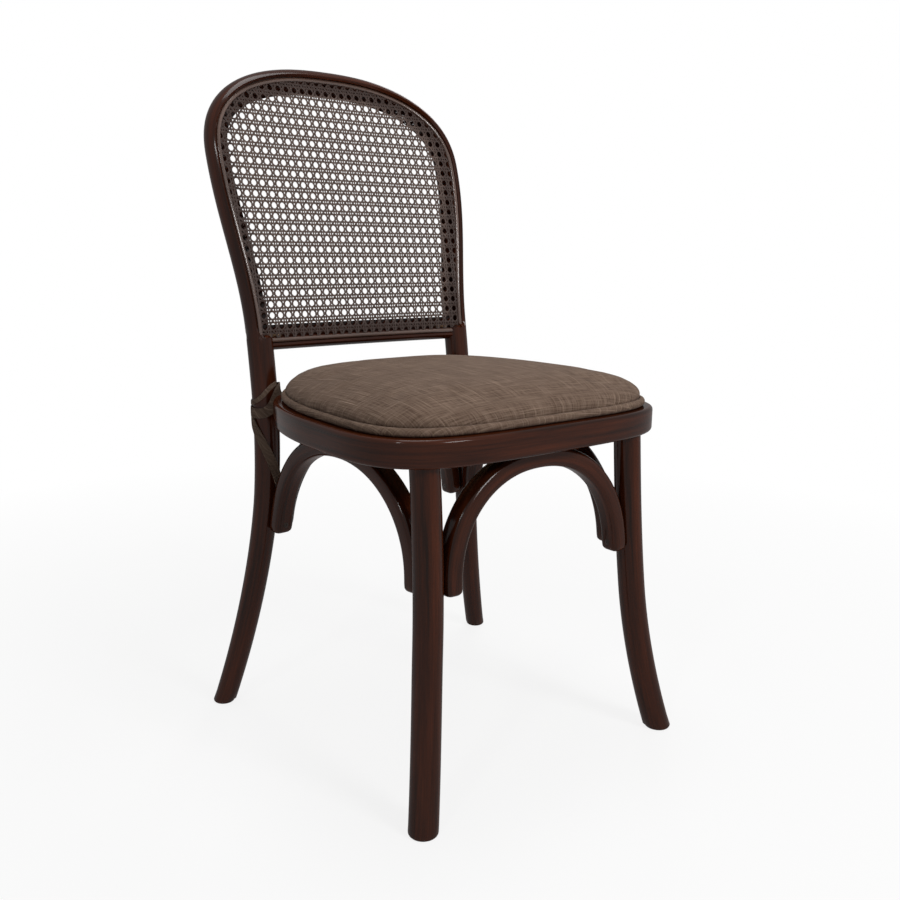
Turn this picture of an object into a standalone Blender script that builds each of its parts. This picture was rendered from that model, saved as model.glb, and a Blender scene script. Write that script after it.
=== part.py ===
"""Bentwood dining chair. One bent rod makes the back hoop and both rear legs. It holds a cane panel, and is
bolted to a bent seat ring on two turned front legs, with four arch braces and a tied-on seat pad.
Metres, +Z up. The sitter faces -Y, so the sitter's right is -X."""

import math

import bmesh
import bpy
import numpy as np
from mathutils import Matrix, Vector

# Clearance between neighbouring pieces
GAP = 0.0003

# Points of a curved line as it is worked out, and as it is walked in even steps
FINE_STEPS = 3600
EVEN_STEPS = 600

# Seat ring: its outline is two half superellipses that meet at the widest place
RING_TOP = 0.443
RING_HEIGHT = 0.0325
RING_WIDTH = 0.062
RING_ROUNDING = 0.005
SEAT_HALF_WIDTH = 0.2263
SEAT_FRONT = 0.1929
SEAT_REAR = 0.2318
SEAT_CENTRE_Y = -0.0613
SEAT_FRONT_SQUARENESS = 4.0
SEAT_REAR_SQUARENESS = 5.5
SEAT_TAPER = 0.056
SEAT_REAR_DRAW = 0.274
SEAT_STEPS = 48

# Seat panel, let into the ring
PANEL_THICKNESS = 0.009
PANEL_REBATE = 0.008

# Bent rod of the hoop and the rear legs
HEIGHT = 0.890
ROD_RADIUS = 0.0176
REAR_FOOT_RADIUS = 0.0148
REAR_TAPER_TO = 0.400
POST_HALF_SPACING = 0.1708
POST_NOTCH = 0.001
REAR_SPLAY = 0.0655
REAR_SPLAY_FROM = 0.450
REAR_SWEEP = 0.0348
REAR_SWEEP_POWER = 1.45
KNEE_HEIGHT = 0.300
HOOP_FLARE_FROM = 0.525
HOOP_WIDEST_AT = 0.760
HOOP_HALF_WIDTH = 0.1935
HOOP_SQUARENESS = 2.38
ROD_SIDES = 14
POST_MARGIN = 0.04
POST_CUT_SIDES = 24
POST_CUT_STEPS = 7
ROD_STEP = 0.042
HOOP_TOP_STEPS = 24

# Lean and bow of the back
BACK_SWEEP = 0.1142
BACK_SWEEP_POWER = 1.85
BACK_BOW_RADIUS = 2.039

# Lower rail of the back, clear of the pad's crown
RAIL_ABOVE_PAD = 0.0088
RAIL_RADIUS = 0.0172
RAIL_STEPS = 14
DOWEL_RADIUS = 0.004
DOWEL_IN_POST = 0.011
DOWEL_IN_RAIL = 0.018
DOWEL_BACK = 0.003

# Cane panel in its rabbet, and the spline that holds it
CANE_FORWARD = 0.0104
CANE_THICKNESS = 0.002
CANE_PITCH_X = 0.0264
CANE_PITCH_Z = 0.0294
CANE_HOLE = 0.0158
CANE_CORNER = 0.0044
CANE_BORDER = 0.0185
SPLINE_WIDTH = 0.0032
SPLINE_DEPTH = 0.0074
SPLINE_PROUD = 0.001
SPLINE_ROUNDING = 0.0008
SILL_CAMBER = 0.0006
RABBET_REACH = 0.0317
OPENING_STEPS = 44

# Front legs
FRONT_LEG_RADIUS = 0.0175
FRONT_HALF_SPACING = 0.166
FRONT_LEG_INSET = 0.0295
FRONT_SPLAY = 0.0362
FRONT_SPLAY_FROM = 0.400
FRONT_SPLAY_POWER = 2.5
FRONT_LEAN = 0.0758
FRONT_SWEEP = 0.0179
FRONT_SWEEP_FROM = 0.200
FRONT_SWEEP_POWER = 1.8
TENON_RADIUS = 0.011
TENON_LENGTH = 0.021
SHOULDER_STEP = 0.00002
FOOT_EDGE = 0.004

# Arch braces
ARCH_END = 0.257
ARCH_FOOT = 0.014
ARCH_THICKNESS = 0.0245
ARCH_WIDTH = 0.027
ARCH_ROUNDING = 0.007
ARCH_SQUARENESS = 2.15
ARCH_STEPS = 18
SIDE_ARCH_INBOARD = 0.009

# Screws of the arches and bolts of the posts
SCREW_LENGTH = 0.035
SCREW_RADIUS = 0.002
SCREW_HEAD_RADIUS = 0.004
SCREW_HEAD_DEPTH = 0.0026
SCREW_FIRST = 0.012
SCREW_SPACING = 0.020
SCREW_SIDES = 8
BOLT_RADIUS = 0.003
BOLT_HEAD_RADIUS = 0.0065
BOLT_HEAD_DEPTH = 0.004
BOLT_HEAD_TAPER = 0.6
BOLT_IN_POST = 0.014
BOLT_SIDES = 10

# Seat pad with its piping
PIPING_RADIUS = 0.005
PIPING_SIDES = 8
PIPING_INSET = 0.0155
PAD_EDGE_INSET = 0.014
PAD_LIP = 0.002
PAD_CROWN = 0.0369
PAD_CROWN_POWER = 2.73
PAD_CROWN_ROOT = 2.14
PAD_RINGS = 9

# Pad ties round the rear posts
TIE_THICKNESS = 0.0028
TIE_WIDTH = 0.013
TIE_RISE = 0.0105
TIE_DIP = 0.014
TIE_TAIL = 0.105
TIE_STEPS = 20

RING_BOTTOM = RING_TOP - RING_HEIGHT
RING_MIDDLE = RING_TOP - RING_HEIGHT / 2
HOOP_TOP = HEIGHT - ROD_RADIUS
ARCH_SPRING = ARCH_END + ARCH_FOOT
PAD_SIDE_INSET = PIPING_INSET + PIPING_RADIUS + GAP
PAD_SIDE_HEIGHT = 2 * (PIPING_RADIUS + GAP)
PAD_EDGE_HEIGHT = PAD_SIDE_HEIGHT + PAD_LIP
PAD_TOP = RING_TOP + PAD_EDGE_HEIGHT + PAD_CROWN
RAIL_HEIGHT = PAD_TOP + RAIL_ABOVE_PAD + RAIL_RADIUS

WALNUT = ("walnut_lacquer", (0.032, 0.013, 0.009), 0.35, 0.0)
CANE = ("stained_cane", (0.13, 0.09, 0.075), 0.55, 0.0)
LINEN = ("taupe_linen", (0.20, 0.155, 0.125), 0.9, 0.0)
PLYWOOD = ("plywood", (0.30, 0.19, 0.11), 0.6, 0.0)
STEEL = ("zinc_steel", (0.35, 0.34, 0.32), 0.4, 1.0)


# Lines

def even(line, count, closed=False):
    """The same line walked in count equal steps."""
    line = np.asarray(line)
    if closed:
        line = np.vstack([line, line[:1]])
    along = np.concatenate([[0], np.cumsum(np.linalg.norm(np.diff(line, axis=0), axis=1))])
    stops = np.linspace(0, along[-1], count + 1)
    if closed:
        stops = stops[:-1]
    return np.column_stack([np.interp(stops, along, column) for column in line.T])


def offset(line, distance, closed=True):
    """A flat line that runs anticlockwise, moved outwards by distance."""
    if closed:
        ahead = np.roll(line, -1, axis=0) - np.roll(line, 1, axis=0)
    else:
        ahead = np.gradient(line, axis=0)
    ahead = ahead / np.linalg.norm(ahead, axis=1)[:, None]
    outwards = np.column_stack([ahead[:, 1], -ahead[:, 0]])
    return line + distance * outwards


def rounded(value, power):
    """One coordinate of a superellipse from a sine or a cosine."""
    return np.sign(value) * np.abs(value) ** (2 / power)


def seat_outline(inset=0.0, count=SEAT_STEPS):
    """The seat's outline seen from above, as (x, y), moved inwards by inset."""
    angle = np.linspace(0, 2 * math.pi, FINE_STEPS, endpoint=False)
    at_front = np.sin(angle) < 0
    depth = np.where(at_front, SEAT_FRONT, SEAT_REAR)
    power = np.where(at_front, SEAT_FRONT_SQUARENESS, SEAT_REAR_SQUARENESS)
    y = depth * rounded(np.sin(angle), power)
    x = SEAT_HALF_WIDTH * rounded(np.cos(angle), power)
    back = y / SEAT_REAR
    x = x * (1 - SEAT_TAPER * back - SEAT_REAR_DRAW * np.maximum(back, 0) ** 2)
    fine = even(np.column_stack([x, y + SEAT_CENTRE_Y]), EVEN_STEPS, closed=True)
    return even(offset(fine, -inset), count, closed=True)


def seat_opening(inset, count=SEAT_STEPS):
    """A smaller outline of the seat's own shape, for the ring's inner edge and the panel in it."""
    centre = np.array([0, SEAT_CENTRE_Y + (SEAT_REAR - SEAT_FRONT) / 2])
    half = np.array([SEAT_HALF_WIDTH, (SEAT_REAR + SEAT_FRONT) / 2])
    return centre + (seat_outline(0, count) - centre) * (1 - inset / half)


def seat_y(half_spacing, inset, at_front):
    """Where a line beside the seat's edge passes a leg's distance from the middle."""
    line = seat_outline(inset, EVEN_STEPS)
    beside = (line[:, 0] > 0) & ((line[:, 1] < SEAT_CENTRE_Y) == at_front)
    line = line[beside]
    order = np.argsort(line[:, 0])
    return float(np.interp(half_spacing, line[order, 0], line[order, 1]))


# Places of the legs and of the back

POST_Y = seat_y(POST_HALF_SPACING, POST_NOTCH - ROD_RADIUS, at_front=False)
FRONT_LEG_Y = seat_y(FRONT_HALF_SPACING, FRONT_LEG_INSET, at_front=True)
POST_RISE = (RING_MIDDLE - KNEE_HEIGHT) / (HOOP_TOP - KNEE_HEIGHT)
KNEE_Y = POST_Y - BACK_SWEEP * POST_RISE**BACK_SWEEP_POWER


def back_y(x, z):
    """The curved sheet that the hoop's centre line lies in: swept back with height and bowed in plan."""
    rise = max(z - KNEE_HEIGHT, 0) / (HOOP_TOP - KNEE_HEIGHT)
    bow = (x * x - POST_HALF_SPACING**2) / (2 * BACK_BOW_RADIUS)
    return KNEE_Y + BACK_SWEEP * rise**BACK_SWEEP_POWER - bow


def rod_x(z):
    """Half the spacing of the rear rod's two sides, up to its widest place."""
    if z < REAR_SPLAY_FROM:
        return POST_HALF_SPACING + REAR_SPLAY * (1 - z / REAR_SPLAY_FROM) ** 2
    share = min(max((z - HOOP_FLARE_FROM) / (HOOP_WIDEST_AT - HOOP_FLARE_FROM), 0), 1)
    return POST_HALF_SPACING + (HOOP_HALF_WIDTH - POST_HALF_SPACING) * (1 - math.cos(math.pi * share)) / 2


def rear_leg(z):
    """The left rear leg's centre at a height."""
    x = rod_x(z)
    if z >= KNEE_HEIGHT:
        return np.array([x, back_y(x, z), z])
    sweep = REAR_SWEEP * (1 - z / KNEE_HEIGHT) ** REAR_SWEEP_POWER
    return np.array([x, back_y(rod_x(KNEE_HEIGHT), KNEE_HEIGHT) + sweep, z])


def rear_radius(z):
    return REAR_FOOT_RADIUS + (ROD_RADIUS - REAR_FOOT_RADIUS) * min(z / REAR_TAPER_TO, 1)


def front_leg(z):
    """The left front leg's centre at a height."""
    splay = FRONT_SPLAY * max(1 - z / FRONT_SPLAY_FROM, 0) ** FRONT_SPLAY_POWER
    sweep = FRONT_SWEEP * max(1 - z / FRONT_SWEEP_FROM, 0) ** FRONT_SWEEP_POWER
    lean = FRONT_LEAN * (RING_BOTTOM - min(z, RING_BOTTOM))
    return np.array([FRONT_HALF_SPACING + splay, FRONT_LEG_Y - lean - sweep, z])


def front_radius(z):
    return FRONT_LEG_RADIUS


def mirrored(leg):
    return lambda z: leg(z) * (-1, 1, 1)


def hoop_line():
    """The hoop above its widest place, as (x, z), from the left side over the top to the right side."""
    angle = np.linspace(0, math.pi, FINE_STEPS)
    x = HOOP_HALF_WIDTH * rounded(np.cos(angle), HOOP_SQUARENESS)
    z = HOOP_WIDEST_AT + (HOOP_TOP - HOOP_WIDEST_AT) * rounded(np.sin(angle), HOOP_SQUARENESS)
    return np.column_stack([x, z])


def opening(inset):
    """The opening of the back, as an anticlockwise (x, z) loop, inset from the rod's and the rail's centre."""
    sill = RAIL_HEIGHT + inset
    heights = np.linspace(HOOP_FLARE_FROM - POST_MARGIN, HOOP_WIDEST_AT, EVEN_STEPS)[:-1]
    left = np.array([(rod_x(z), z) for z in heights])
    line = np.vstack([left, hoop_line(), left[::-1] * (-1, 1)])
    line = offset(even(line, EVEN_STEPS), -inset, closed=False)
    above = line[line[:, 1] > sill]
    corner = np.array([above[0, 0], sill])
    sides = even(np.vstack([corner, above, corner * (-1, 1)]), OPENING_STEPS)
    bottom = even([corner * (-1, 1), corner], OPENING_STEPS // 4)[1:-1]
    bottom[:, 1] -= SILL_CAMBER * (1 - (bottom[:, 0] / corner[0]) ** 2)
    return np.vstack([sides, bottom])


# Shapes

def clear_scene():
    for thing in list(bpy.data.objects):
        bpy.data.objects.remove(thing, do_unlink=True)


def new_collection(name):
    made = bpy.data.collections.new(name)
    bpy.context.scene.collection.children.link(made)
    return made


def mesh_of(curve):
    """The solid of a curve as a mesh with its caps welded on."""
    holder = bpy.data.objects.new(curve.name, curve)
    bpy.context.scene.collection.objects.link(holder)
    bpy.context.view_layer.update()
    graph = bpy.context.evaluated_depsgraph_get()
    mesh = bpy.data.meshes.new_from_object(holder.evaluated_get(graph))
    bpy.data.objects.remove(holder, do_unlink=True)
    bm = bmesh.new()
    bm.from_mesh(mesh)
    bmesh.ops.remove_doubles(bm, verts=bm.verts, dist=0.000002)
    bmesh.ops.recalc_face_normals(bm, faces=bm.faces)
    bm.to_mesh(mesh)
    bm.free()
    mesh.name = curve.name
    return mesh


def add_spline(curve, points, closed, radii=None):
    spline = curve.splines.new("POLY")
    spline.points.add(len(points) - 1)
    for i, point in enumerate(points):
        spline.points[i].co = (*point, *[0.0] * (3 - len(point)), 1)
        if radii is not None:
            spline.points[i].radius = radii[i]
    spline.use_cyclic_u = closed


def tube(name, path, radii, sides=ROD_SIDES, closed=False):
    """A round rod along path, with a radius at each of its points."""
    curve = bpy.data.curves.new(name, "CURVE")
    curve.dimensions = "3D"
    curve.bevel_depth = 1.0
    curve.bevel_resolution = (sides - 4) // 2
    curve.use_fill_caps = True
    add_spline(curve, path, closed, radii)
    return mesh_of(curve)


def plate(name, loops, low, high, rounding=0.0):
    """A flat plate between two heights. The first loop is its edge and the others are its holes."""
    curve = bpy.data.curves.new(name, "CURVE")
    curve.dimensions = "2D"
    curve.fill_mode = "BOTH"
    curve.extrude = (high - low) / 2 - rounding
    curve.bevel_depth = rounding
    curve.bevel_resolution = 1
    for loop in loops:
        add_spline(curve, loop, True)
    mesh = mesh_of(curve)
    mesh.transform(Matrix.Translation((0, 0, (low + high) / 2)))
    bm = bmesh.new()
    bm.from_mesh(mesh)
    flat = [face for face in bm.faces if abs(face.normal.z) > 0.999]
    between = [edge for edge in bm.edges if all(face in flat for face in edge.link_faces)]
    bmesh.ops.beautify_fill(bm, faces=flat, edges=between)
    bm.to_mesh(mesh)
    bm.free()
    return mesh


def loft(name, rings):
    """A solid through loops of equal length, from the bottom up, closed flat below and above."""
    mesh = bpy.data.meshes.new(name)
    bm = bmesh.new()
    layers = [[bm.verts.new(point) for point in ring] for ring in rings]
    bm.faces.new(layers[0][::-1])
    bm.faces.new(layers[-1])
    count = len(rings[0])
    for below, above in zip(layers, layers[1:]):
        for i in range(count):
            j = (i + 1) % count
            bm.faces.new((below[i], below[j], above[j], above[i]))
    bmesh.ops.recalc_face_normals(bm, faces=bm.faces)
    bm.to_mesh(mesh)
    bm.free()
    return mesh


def frame_band(name, section):
    """A solid round the back's opening, with a section of (inset, forward) points taken round it."""
    mesh = bpy.data.meshes.new(name)
    bm = bmesh.new()
    layers = []
    for inset, forward in section:
        layers.append([bm.verts.new(onto_back(x, z, forward)) for x, z in opening(inset)])
    count = len(layers[0])
    for inner, outer in zip(layers, layers[1:] + layers[:1]):
        for i in range(count):
            j = (i + 1) % count
            bm.faces.new((inner[i], inner[j], outer[j], outer[i]))
    bmesh.ops.recalc_face_normals(bm, faces=bm.faces)
    bm.to_mesh(mesh)
    bm.free()
    return mesh


def profile_mesh(name, profile):
    """A profile of (radius, height) points for the Screw modifier, written from the top down."""
    mesh = bpy.data.meshes.new(name)
    edges = [(i, i + 1) for i in range(len(profile) - 1)]
    mesh.from_pydata([(radius, 0, height) for radius, height in profile], edges, [])
    return mesh


def turn(thing, sides):
    """Turns the object's profile round its own Z axis."""
    screw = thing.modifiers.new("turned", "SCREW")
    screw.steps = sides
    screw.render_steps = sides
    screw.use_merge_vertices = True
    screw.merge_threshold = 0.00001


def bend(mesh, place):
    """Moves each point of a flat pattern to its place."""
    for vertex in mesh.vertices:
        vertex.co = place(*vertex.co)
    return mesh


def onto_back(x, z, forward):
    return Vector((x, back_y(x, z) - forward, z))


def material_of(look):
    name, colour, roughness, metallic = look
    made = bpy.data.materials.get(name)
    if made is None:
        made = bpy.data.materials.new(name)
        made.use_nodes = True
        shader = made.node_tree.nodes["Principled BSDF"]
        shader.inputs["Base Color"].default_value = (*colour, 1)
        shader.inputs["Roughness"].default_value = roughness
        shader.inputs["Metallic"].default_value = metallic
    return made


class Bench:
    """Keeps the chair's pieces in one collection and the cutters in another."""

    def __init__(self):
        self.pieces = new_collection("bentwood_chair")
        self.cutters = new_collection("cutters")

    def piece(self, name, mesh, look):
        thing = bpy.data.objects.new(name, mesh)
        self.pieces.objects.link(thing)
        if not mesh.materials:
            mesh.materials.append(material_of(look))
        if mesh.polygons:
            mesh.shade_smooth()
            mesh.set_sharp_from_angle(angle=math.radians(40))
        return thing

    def cutter(self, name, mesh):
        thing = bpy.data.objects.new(name, mesh)
        self.cutters.objects.link(thing)
        thing.hide_render = True
        thing.display_type = "WIRE"
        return thing


def cut(piece, cutter, operation="DIFFERENCE"):
    boolean = piece.modifiers.new(cutter.name, "BOOLEAN")
    boolean.object = cutter
    boolean.operation = operation
    boolean.solver = "EXACT"


def aim(thing, start, towards):
    """Stands the object at start with its Z axis along a direction."""
    turned = Vector(towards).to_track_quat("Z", "Y").to_matrix().to_4x4()
    thing.matrix_world = Matrix.Translation(start) @ turned


# Legs and hoop

def on_foot(path, radii):
    """Sets a leg upright on the floor for its last millimetres, with a rounded edge."""
    x, y, _ = path[0]
    turns = [0, math.pi / 4, math.pi / 2]
    foot = [(x, y, FOOT_EDGE * (1 - math.cos(turn))) for turn in turns]
    foot_radii = [radii[0] - FOOT_EDGE * (1 - math.sin(turn)) for turn in turns]
    return np.vstack([foot, path[1:]]), foot_radii + list(radii[1:])


def make_hoop(bench):
    heights = np.linspace(0, HOOP_WIDEST_AT, round(HOOP_WIDEST_AT / ROD_STEP))
    left = np.array([rear_leg(z) for z in heights])
    left, radii = on_foot(left, [rear_radius(z) for z in heights])
    top = even(hoop_line(), HOOP_TOP_STEPS)[1:-1]
    top = np.array([onto_back(x, z, 0) for x, z in top])
    path = np.vstack([left, top, left[::-1] * (-1, 1, 1)])
    radii = radii + [ROD_RADIUS] * len(top) + radii[::-1]
    return bench.piece("back_hoop", tube("back_hoop", path, radii), WALNUT)


def post_cutter(bench, side):
    """The post near the rail and the ring, larger by the clearance."""
    heights = np.linspace(RING_BOTTOM - POST_MARGIN, RAIL_HEIGHT + POST_MARGIN, POST_CUT_STEPS)
    path = np.array([rear_leg(z) for z in heights]) * (side, 1, 1)
    radii = [ROD_RADIUS + GAP] * len(path)
    return bench.cutter(f"post_space_{side}", tube("post_space", path, radii, POST_CUT_SIDES))


def make_front_leg(bench, name, side):
    shoulder = RING_BOTTOM - GAP
    heights = np.linspace(0, shoulder, round(shoulder / ROD_STEP))
    path = np.array([front_leg(z) for z in heights])
    path, radii = on_foot(path, [front_radius(z) for z in heights])
    top = path[-1]
    neck = [top + (0, 0, SHOULDER_STEP), top + (0, 0, TENON_LENGTH)]
    path = np.vstack([path[:-1], top - (0, 0, FOOT_EDGE), top, neck])
    radii = radii + [FRONT_LEG_RADIUS, TENON_RADIUS, TENON_RADIUS]
    return bench.piece(name, tube(name, path * (side, 1, 1), radii), WALNUT)


# Back

def make_rail(bench):
    reach = rod_x(RAIL_HEIGHT)
    path = [onto_back(x, RAIL_HEIGHT, 0) for x in np.linspace(-reach, reach, RAIL_STEPS)]
    mesh = tube("back_rail", path, [RAIL_RADIUS] * len(path), ROD_SIDES)
    return bench.piece("back_rail", mesh, WALNUT)


def rabbet_cutter(bench):
    """The rabbet for the cane and, along its outer edge, the deeper groove for the spline."""
    wall = SPLINE_WIDTH / 2 + GAP
    floor = CANE_FORWARD - CANE_THICKNESS - GAP
    front = 2 * ROD_RADIUS
    groove_floor = CANE_FORWARD + SPLINE_PROUD - SPLINE_DEPTH - GAP
    section = [
        (-wall, groove_floor),
        (wall, groove_floor),
        (wall, floor),
        (RABBET_REACH, floor),
        (RABBET_REACH, front),
        (-wall, front),
    ]
    return bench.cutter("rabbet", frame_band("rabbet", section))


def octagon(x, z):
    """A hole of the cane: a square with its corners cut by the diagonal strands."""
    half = CANE_HOLE / 2
    short = half - CANE_CORNER
    quarter = [(half, short), (short, half)]
    points = []
    for _ in range(4):
        points += quarter
        quarter = [(-b, a) for a, b in quarter]
    return [(x + a, z + b) for a, b in points]


def inside(loop, point):
    """Whether a point lies inside a flat loop."""
    x, z = point
    x1, z1 = loop.T
    x2, z2 = np.roll(loop, -1, axis=0).T
    crosses = (z1 > z) != (z2 > z)
    level = np.where(z1 == z2, 1, z2 - z1)
    return bool(np.sum(crosses & (x < x1 + (z - z1) * (x2 - x1) / level)) % 2)


def make_cane(bench):
    """The net keeps the weave's octagonal holes, at twice the real pitch of the cane."""
    edge = opening(SPLINE_WIDTH / 2 + GAP)
    border = opening(CANE_BORDER + CANE_HOLE / 2)
    columns = int(HOOP_HALF_WIDTH / CANE_PITCH_X) + 1
    middle = (RAIL_HEIGHT + HOOP_TOP) / 2
    rows = int((HOOP_TOP - RAIL_HEIGHT) / CANE_PITCH_Z / 2) + 1
    holes = []
    for row in range(-rows, rows + 1):
        for column in range(-columns, columns):
            centre = ((column + 0.5) * CANE_PITCH_X, middle + row * CANE_PITCH_Z)
            if inside(border, centre):
                holes.append(octagon(*centre))
    mesh = plate("cane_panel", [edge] + holes, CANE_FORWARD - CANE_THICKNESS, CANE_FORWARD)
    return bench.piece("cane_panel", bend(mesh, onto_back), CANE)


def make_spline(bench):
    top = CANE_FORWARD + SPLINE_PROUD
    half = SPLINE_WIDTH / 2
    section = [
        (-half, top - SPLINE_DEPTH),
        (half, top - SPLINE_DEPTH),
        (half, top - SPLINE_ROUNDING),
        (half - SPLINE_ROUNDING, top),
        (SPLINE_ROUNDING - half, top),
        (-half, top - SPLINE_ROUNDING),
    ]
    return bench.piece("cane_spline", frame_band("cane_spline", section), WALNUT)


def make_rail_dowel(bench, name, side):
    """A dowel across the joint of rail and post, and the hole for it in both."""
    joint = rod_x(RAIL_HEIGHT) - ROD_RADIUS
    start = onto_back((joint - DOWEL_IN_RAIL) * side, RAIL_HEIGHT, -DOWEL_BACK)
    length = DOWEL_IN_RAIL + DOWEL_IN_POST
    profile = [(0, length), (DOWEL_RADIUS, length), (DOWEL_RADIUS, 0), (0, 0)]
    dowel = bench.piece(name, profile_mesh(name, profile), PLYWOOD)
    wide = DOWEL_RADIUS + GAP
    profile = [(0, length + GAP), (wide, length + GAP), (wide, -GAP), (0, -GAP)]
    hole = bench.cutter(f"{name}_hole", profile_mesh("dowel_hole", profile))
    for thing in (dowel, hole):
        turn(thing, BOLT_SIDES)
        aim(thing, start, (side, 0, 0))
    return hole


# Seat

def make_ring(bench):
    loops = [seat_outline(RING_ROUNDING), seat_opening(RING_WIDTH - RING_ROUNDING)]
    mesh = plate("seat_ring", loops, RING_BOTTOM, RING_TOP, RING_ROUNDING)
    return bench.piece("seat_ring", mesh, WALNUT)


def make_seat_panel(bench):
    """The plywood panel, flush with the ring's top, and its rebate in the ring."""
    edge = RING_WIDTH - PANEL_REBATE
    mesh = plate("seat_panel", [seat_opening(edge)], RING_TOP - PANEL_THICKNESS, RING_TOP)
    bench.piece("seat_panel", mesh, PLYWOOD)
    seat = RING_TOP - PANEL_THICKNESS - GAP
    rebate = plate("panel_rebate", [seat_opening(edge - 2 * GAP)], seat, RING_TOP + PANEL_THICKNESS)
    return bench.cutter("panel_rebate", rebate)


def tenon_socket(bench, side):
    wide = TENON_RADIUS + GAP
    depth = TENON_LENGTH + GAP
    profile = [(0, depth), (wide, depth), (wide, -RING_HEIGHT), (0, -RING_HEIGHT)]
    socket = bench.cutter(f"tenon_socket_{side}", profile_mesh("tenon_socket", profile))
    turn(socket, ROD_SIDES)
    socket.location = front_leg(RING_BOTTOM) * (side, 1, 1)
    return socket


def make_ring_bolt(bench, name, side):
    """A bolt from the ring's inner side into the post, with its head sunk, and the hole for it."""
    post = rear_leg(RING_MIDDLE)
    outline = seat_outline(0, EVEN_STEPS)
    touch = outline[np.argmin(np.linalg.norm(outline - post[:2], axis=1))]
    outwards = (post[:2] - touch) / np.linalg.norm(post[:2] - touch)
    depth = RING_WIDTH - BOLT_HEAD_DEPTH
    start = np.append(touch - outwards * depth, RING_BOTTOM + (RING_HEIGHT - PANEL_THICKNESS) / 2)
    start = start * (side, 1, 1)
    length = depth + BOLT_IN_POST
    head = -BOLT_HEAD_DEPTH
    profile = [(0, length), (BOLT_RADIUS, length), (BOLT_RADIUS, 0), (BOLT_HEAD_RADIUS, 0)]
    crown = BOLT_HEAD_RADIUS * BOLT_HEAD_TAPER
    profile += [(BOLT_HEAD_RADIUS, head * BOLT_HEAD_TAPER), (crown, head), (0, head)]
    bolt = bench.piece(name, profile_mesh(name, profile), STEEL)
    wide = BOLT_HEAD_RADIUS + GAP
    shank = BOLT_RADIUS + GAP
    far = -3 * BOLT_HEAD_DEPTH
    profile = [(0, length + GAP), (shank, length + GAP), (shank, GAP), (wide, GAP), (wide, far), (0, far)]
    hole = bench.cutter(f"{name}_hole", profile_mesh("bolt_hole", profile))
    for thing in (bolt, hole):
        turn(thing, BOLT_SIDES)
        aim(thing, start, (outwards[0] * side, outwards[1], 0))
    return hole


def make_pad(bench):
    """The pad narrows above the ring to make room for its piping, then swells into its crown."""
    base = RING_TOP + GAP
    side = seat_outline(PAD_SIDE_INSET)
    edge = seat_outline(PAD_EDGE_INSET)
    centre = edge.mean(axis=0)

    def at(line, height):
        return np.column_stack([line, np.full(len(line), height)])

    rings = [at(side, base), at(side, RING_TOP + PAD_SIDE_HEIGHT)]
    for step in range(PAD_RINGS):
        share = math.cos(step / PAD_RINGS * math.pi / 2)
        rise = PAD_CROWN * (1 - share**PAD_CROWN_POWER) ** (1 / PAD_CROWN_ROOT)
        rings.append(at(centre + (edge - centre) * share, RING_TOP + PAD_EDGE_HEIGHT + rise))
    bench.piece("seat_pad", loft("seat_pad", rings), LINEN)


def make_piping(bench):
    line = seat_outline(PIPING_INSET)
    height = RING_TOP + GAP + PIPING_RADIUS
    path = np.column_stack([line, np.full(len(line), height)])
    mesh = tube("pad_piping", path, [PIPING_RADIUS] * len(path), PIPING_SIDES, closed=True)
    bench.piece("pad_piping", mesh, LINEN)


def make_tie(bench, name, side):
    """A strap round the post, high on the pad's side and dipping behind, with its tail and the tab to the pad."""
    middle = RING_TOP + TIE_RISE - TIE_DIP
    post = rear_leg(middle)
    inner = ROD_RADIUS + 2 * GAP
    outer = inner + TIE_THICKNESS
    inwards = np.array([0, SEAT_CENTRE_Y]) - post[:2]
    inwards = inwards / np.linalg.norm(inwards)

    def circle(radius):
        angle = np.linspace(0, 2 * math.pi, TIE_STEPS, endpoint=False)
        return radius * np.column_stack([np.cos(angle), np.sin(angle)])

    def round_post(x, y, z):
        """The strap follows the leaning post, and slopes up towards the pad."""
        height = middle + z + TIE_DIP * (x * inwards[0] + y * inwards[1]) / outer
        centre = rear_leg(height)
        return Vector(((centre[0] + x) * side, centre[1] + y, height))

    half = TIE_WIDTH / 2
    band = bend(plate(name, [circle(outer), circle(inner)], -half, half), round_post)
    tab_end = outer + PIPING_INSET - PIPING_RADIUS - TIE_THICKNESS - 4 * GAP
    across = np.array([-inwards[1], inwards[0]])
    tab = [inwards * reach + across * aside for reach, aside in
           ((inner + 2 * GAP, half), (tab_end, half), (tab_end, -half), (inner + 2 * GAP, -half))]
    tab = bend(plate("tab", [tab], -TIE_THICKNESS / 2, TIE_THICKNESS / 2), round_post)
    tail = [-inwards * reach + across * aside for reach, aside in
            ((inner + 2 * GAP, half), (outer + GAP, half), (outer + GAP, -half), (inner + 2 * GAP, -half))]
    tail = bend(plate("tail", [tail], -TIE_TAIL, half / 2), round_post)
    if side < 0:
        for mesh in (band, tab, tail):
            mesh.flip_normals()
    strap = bench.piece(name, band, LINEN)
    for extra in (tab, tail):
        cut(strap, bench.cutter(f"{name}_{extra.name}", extra), "UNION")


# Arch braces

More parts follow.
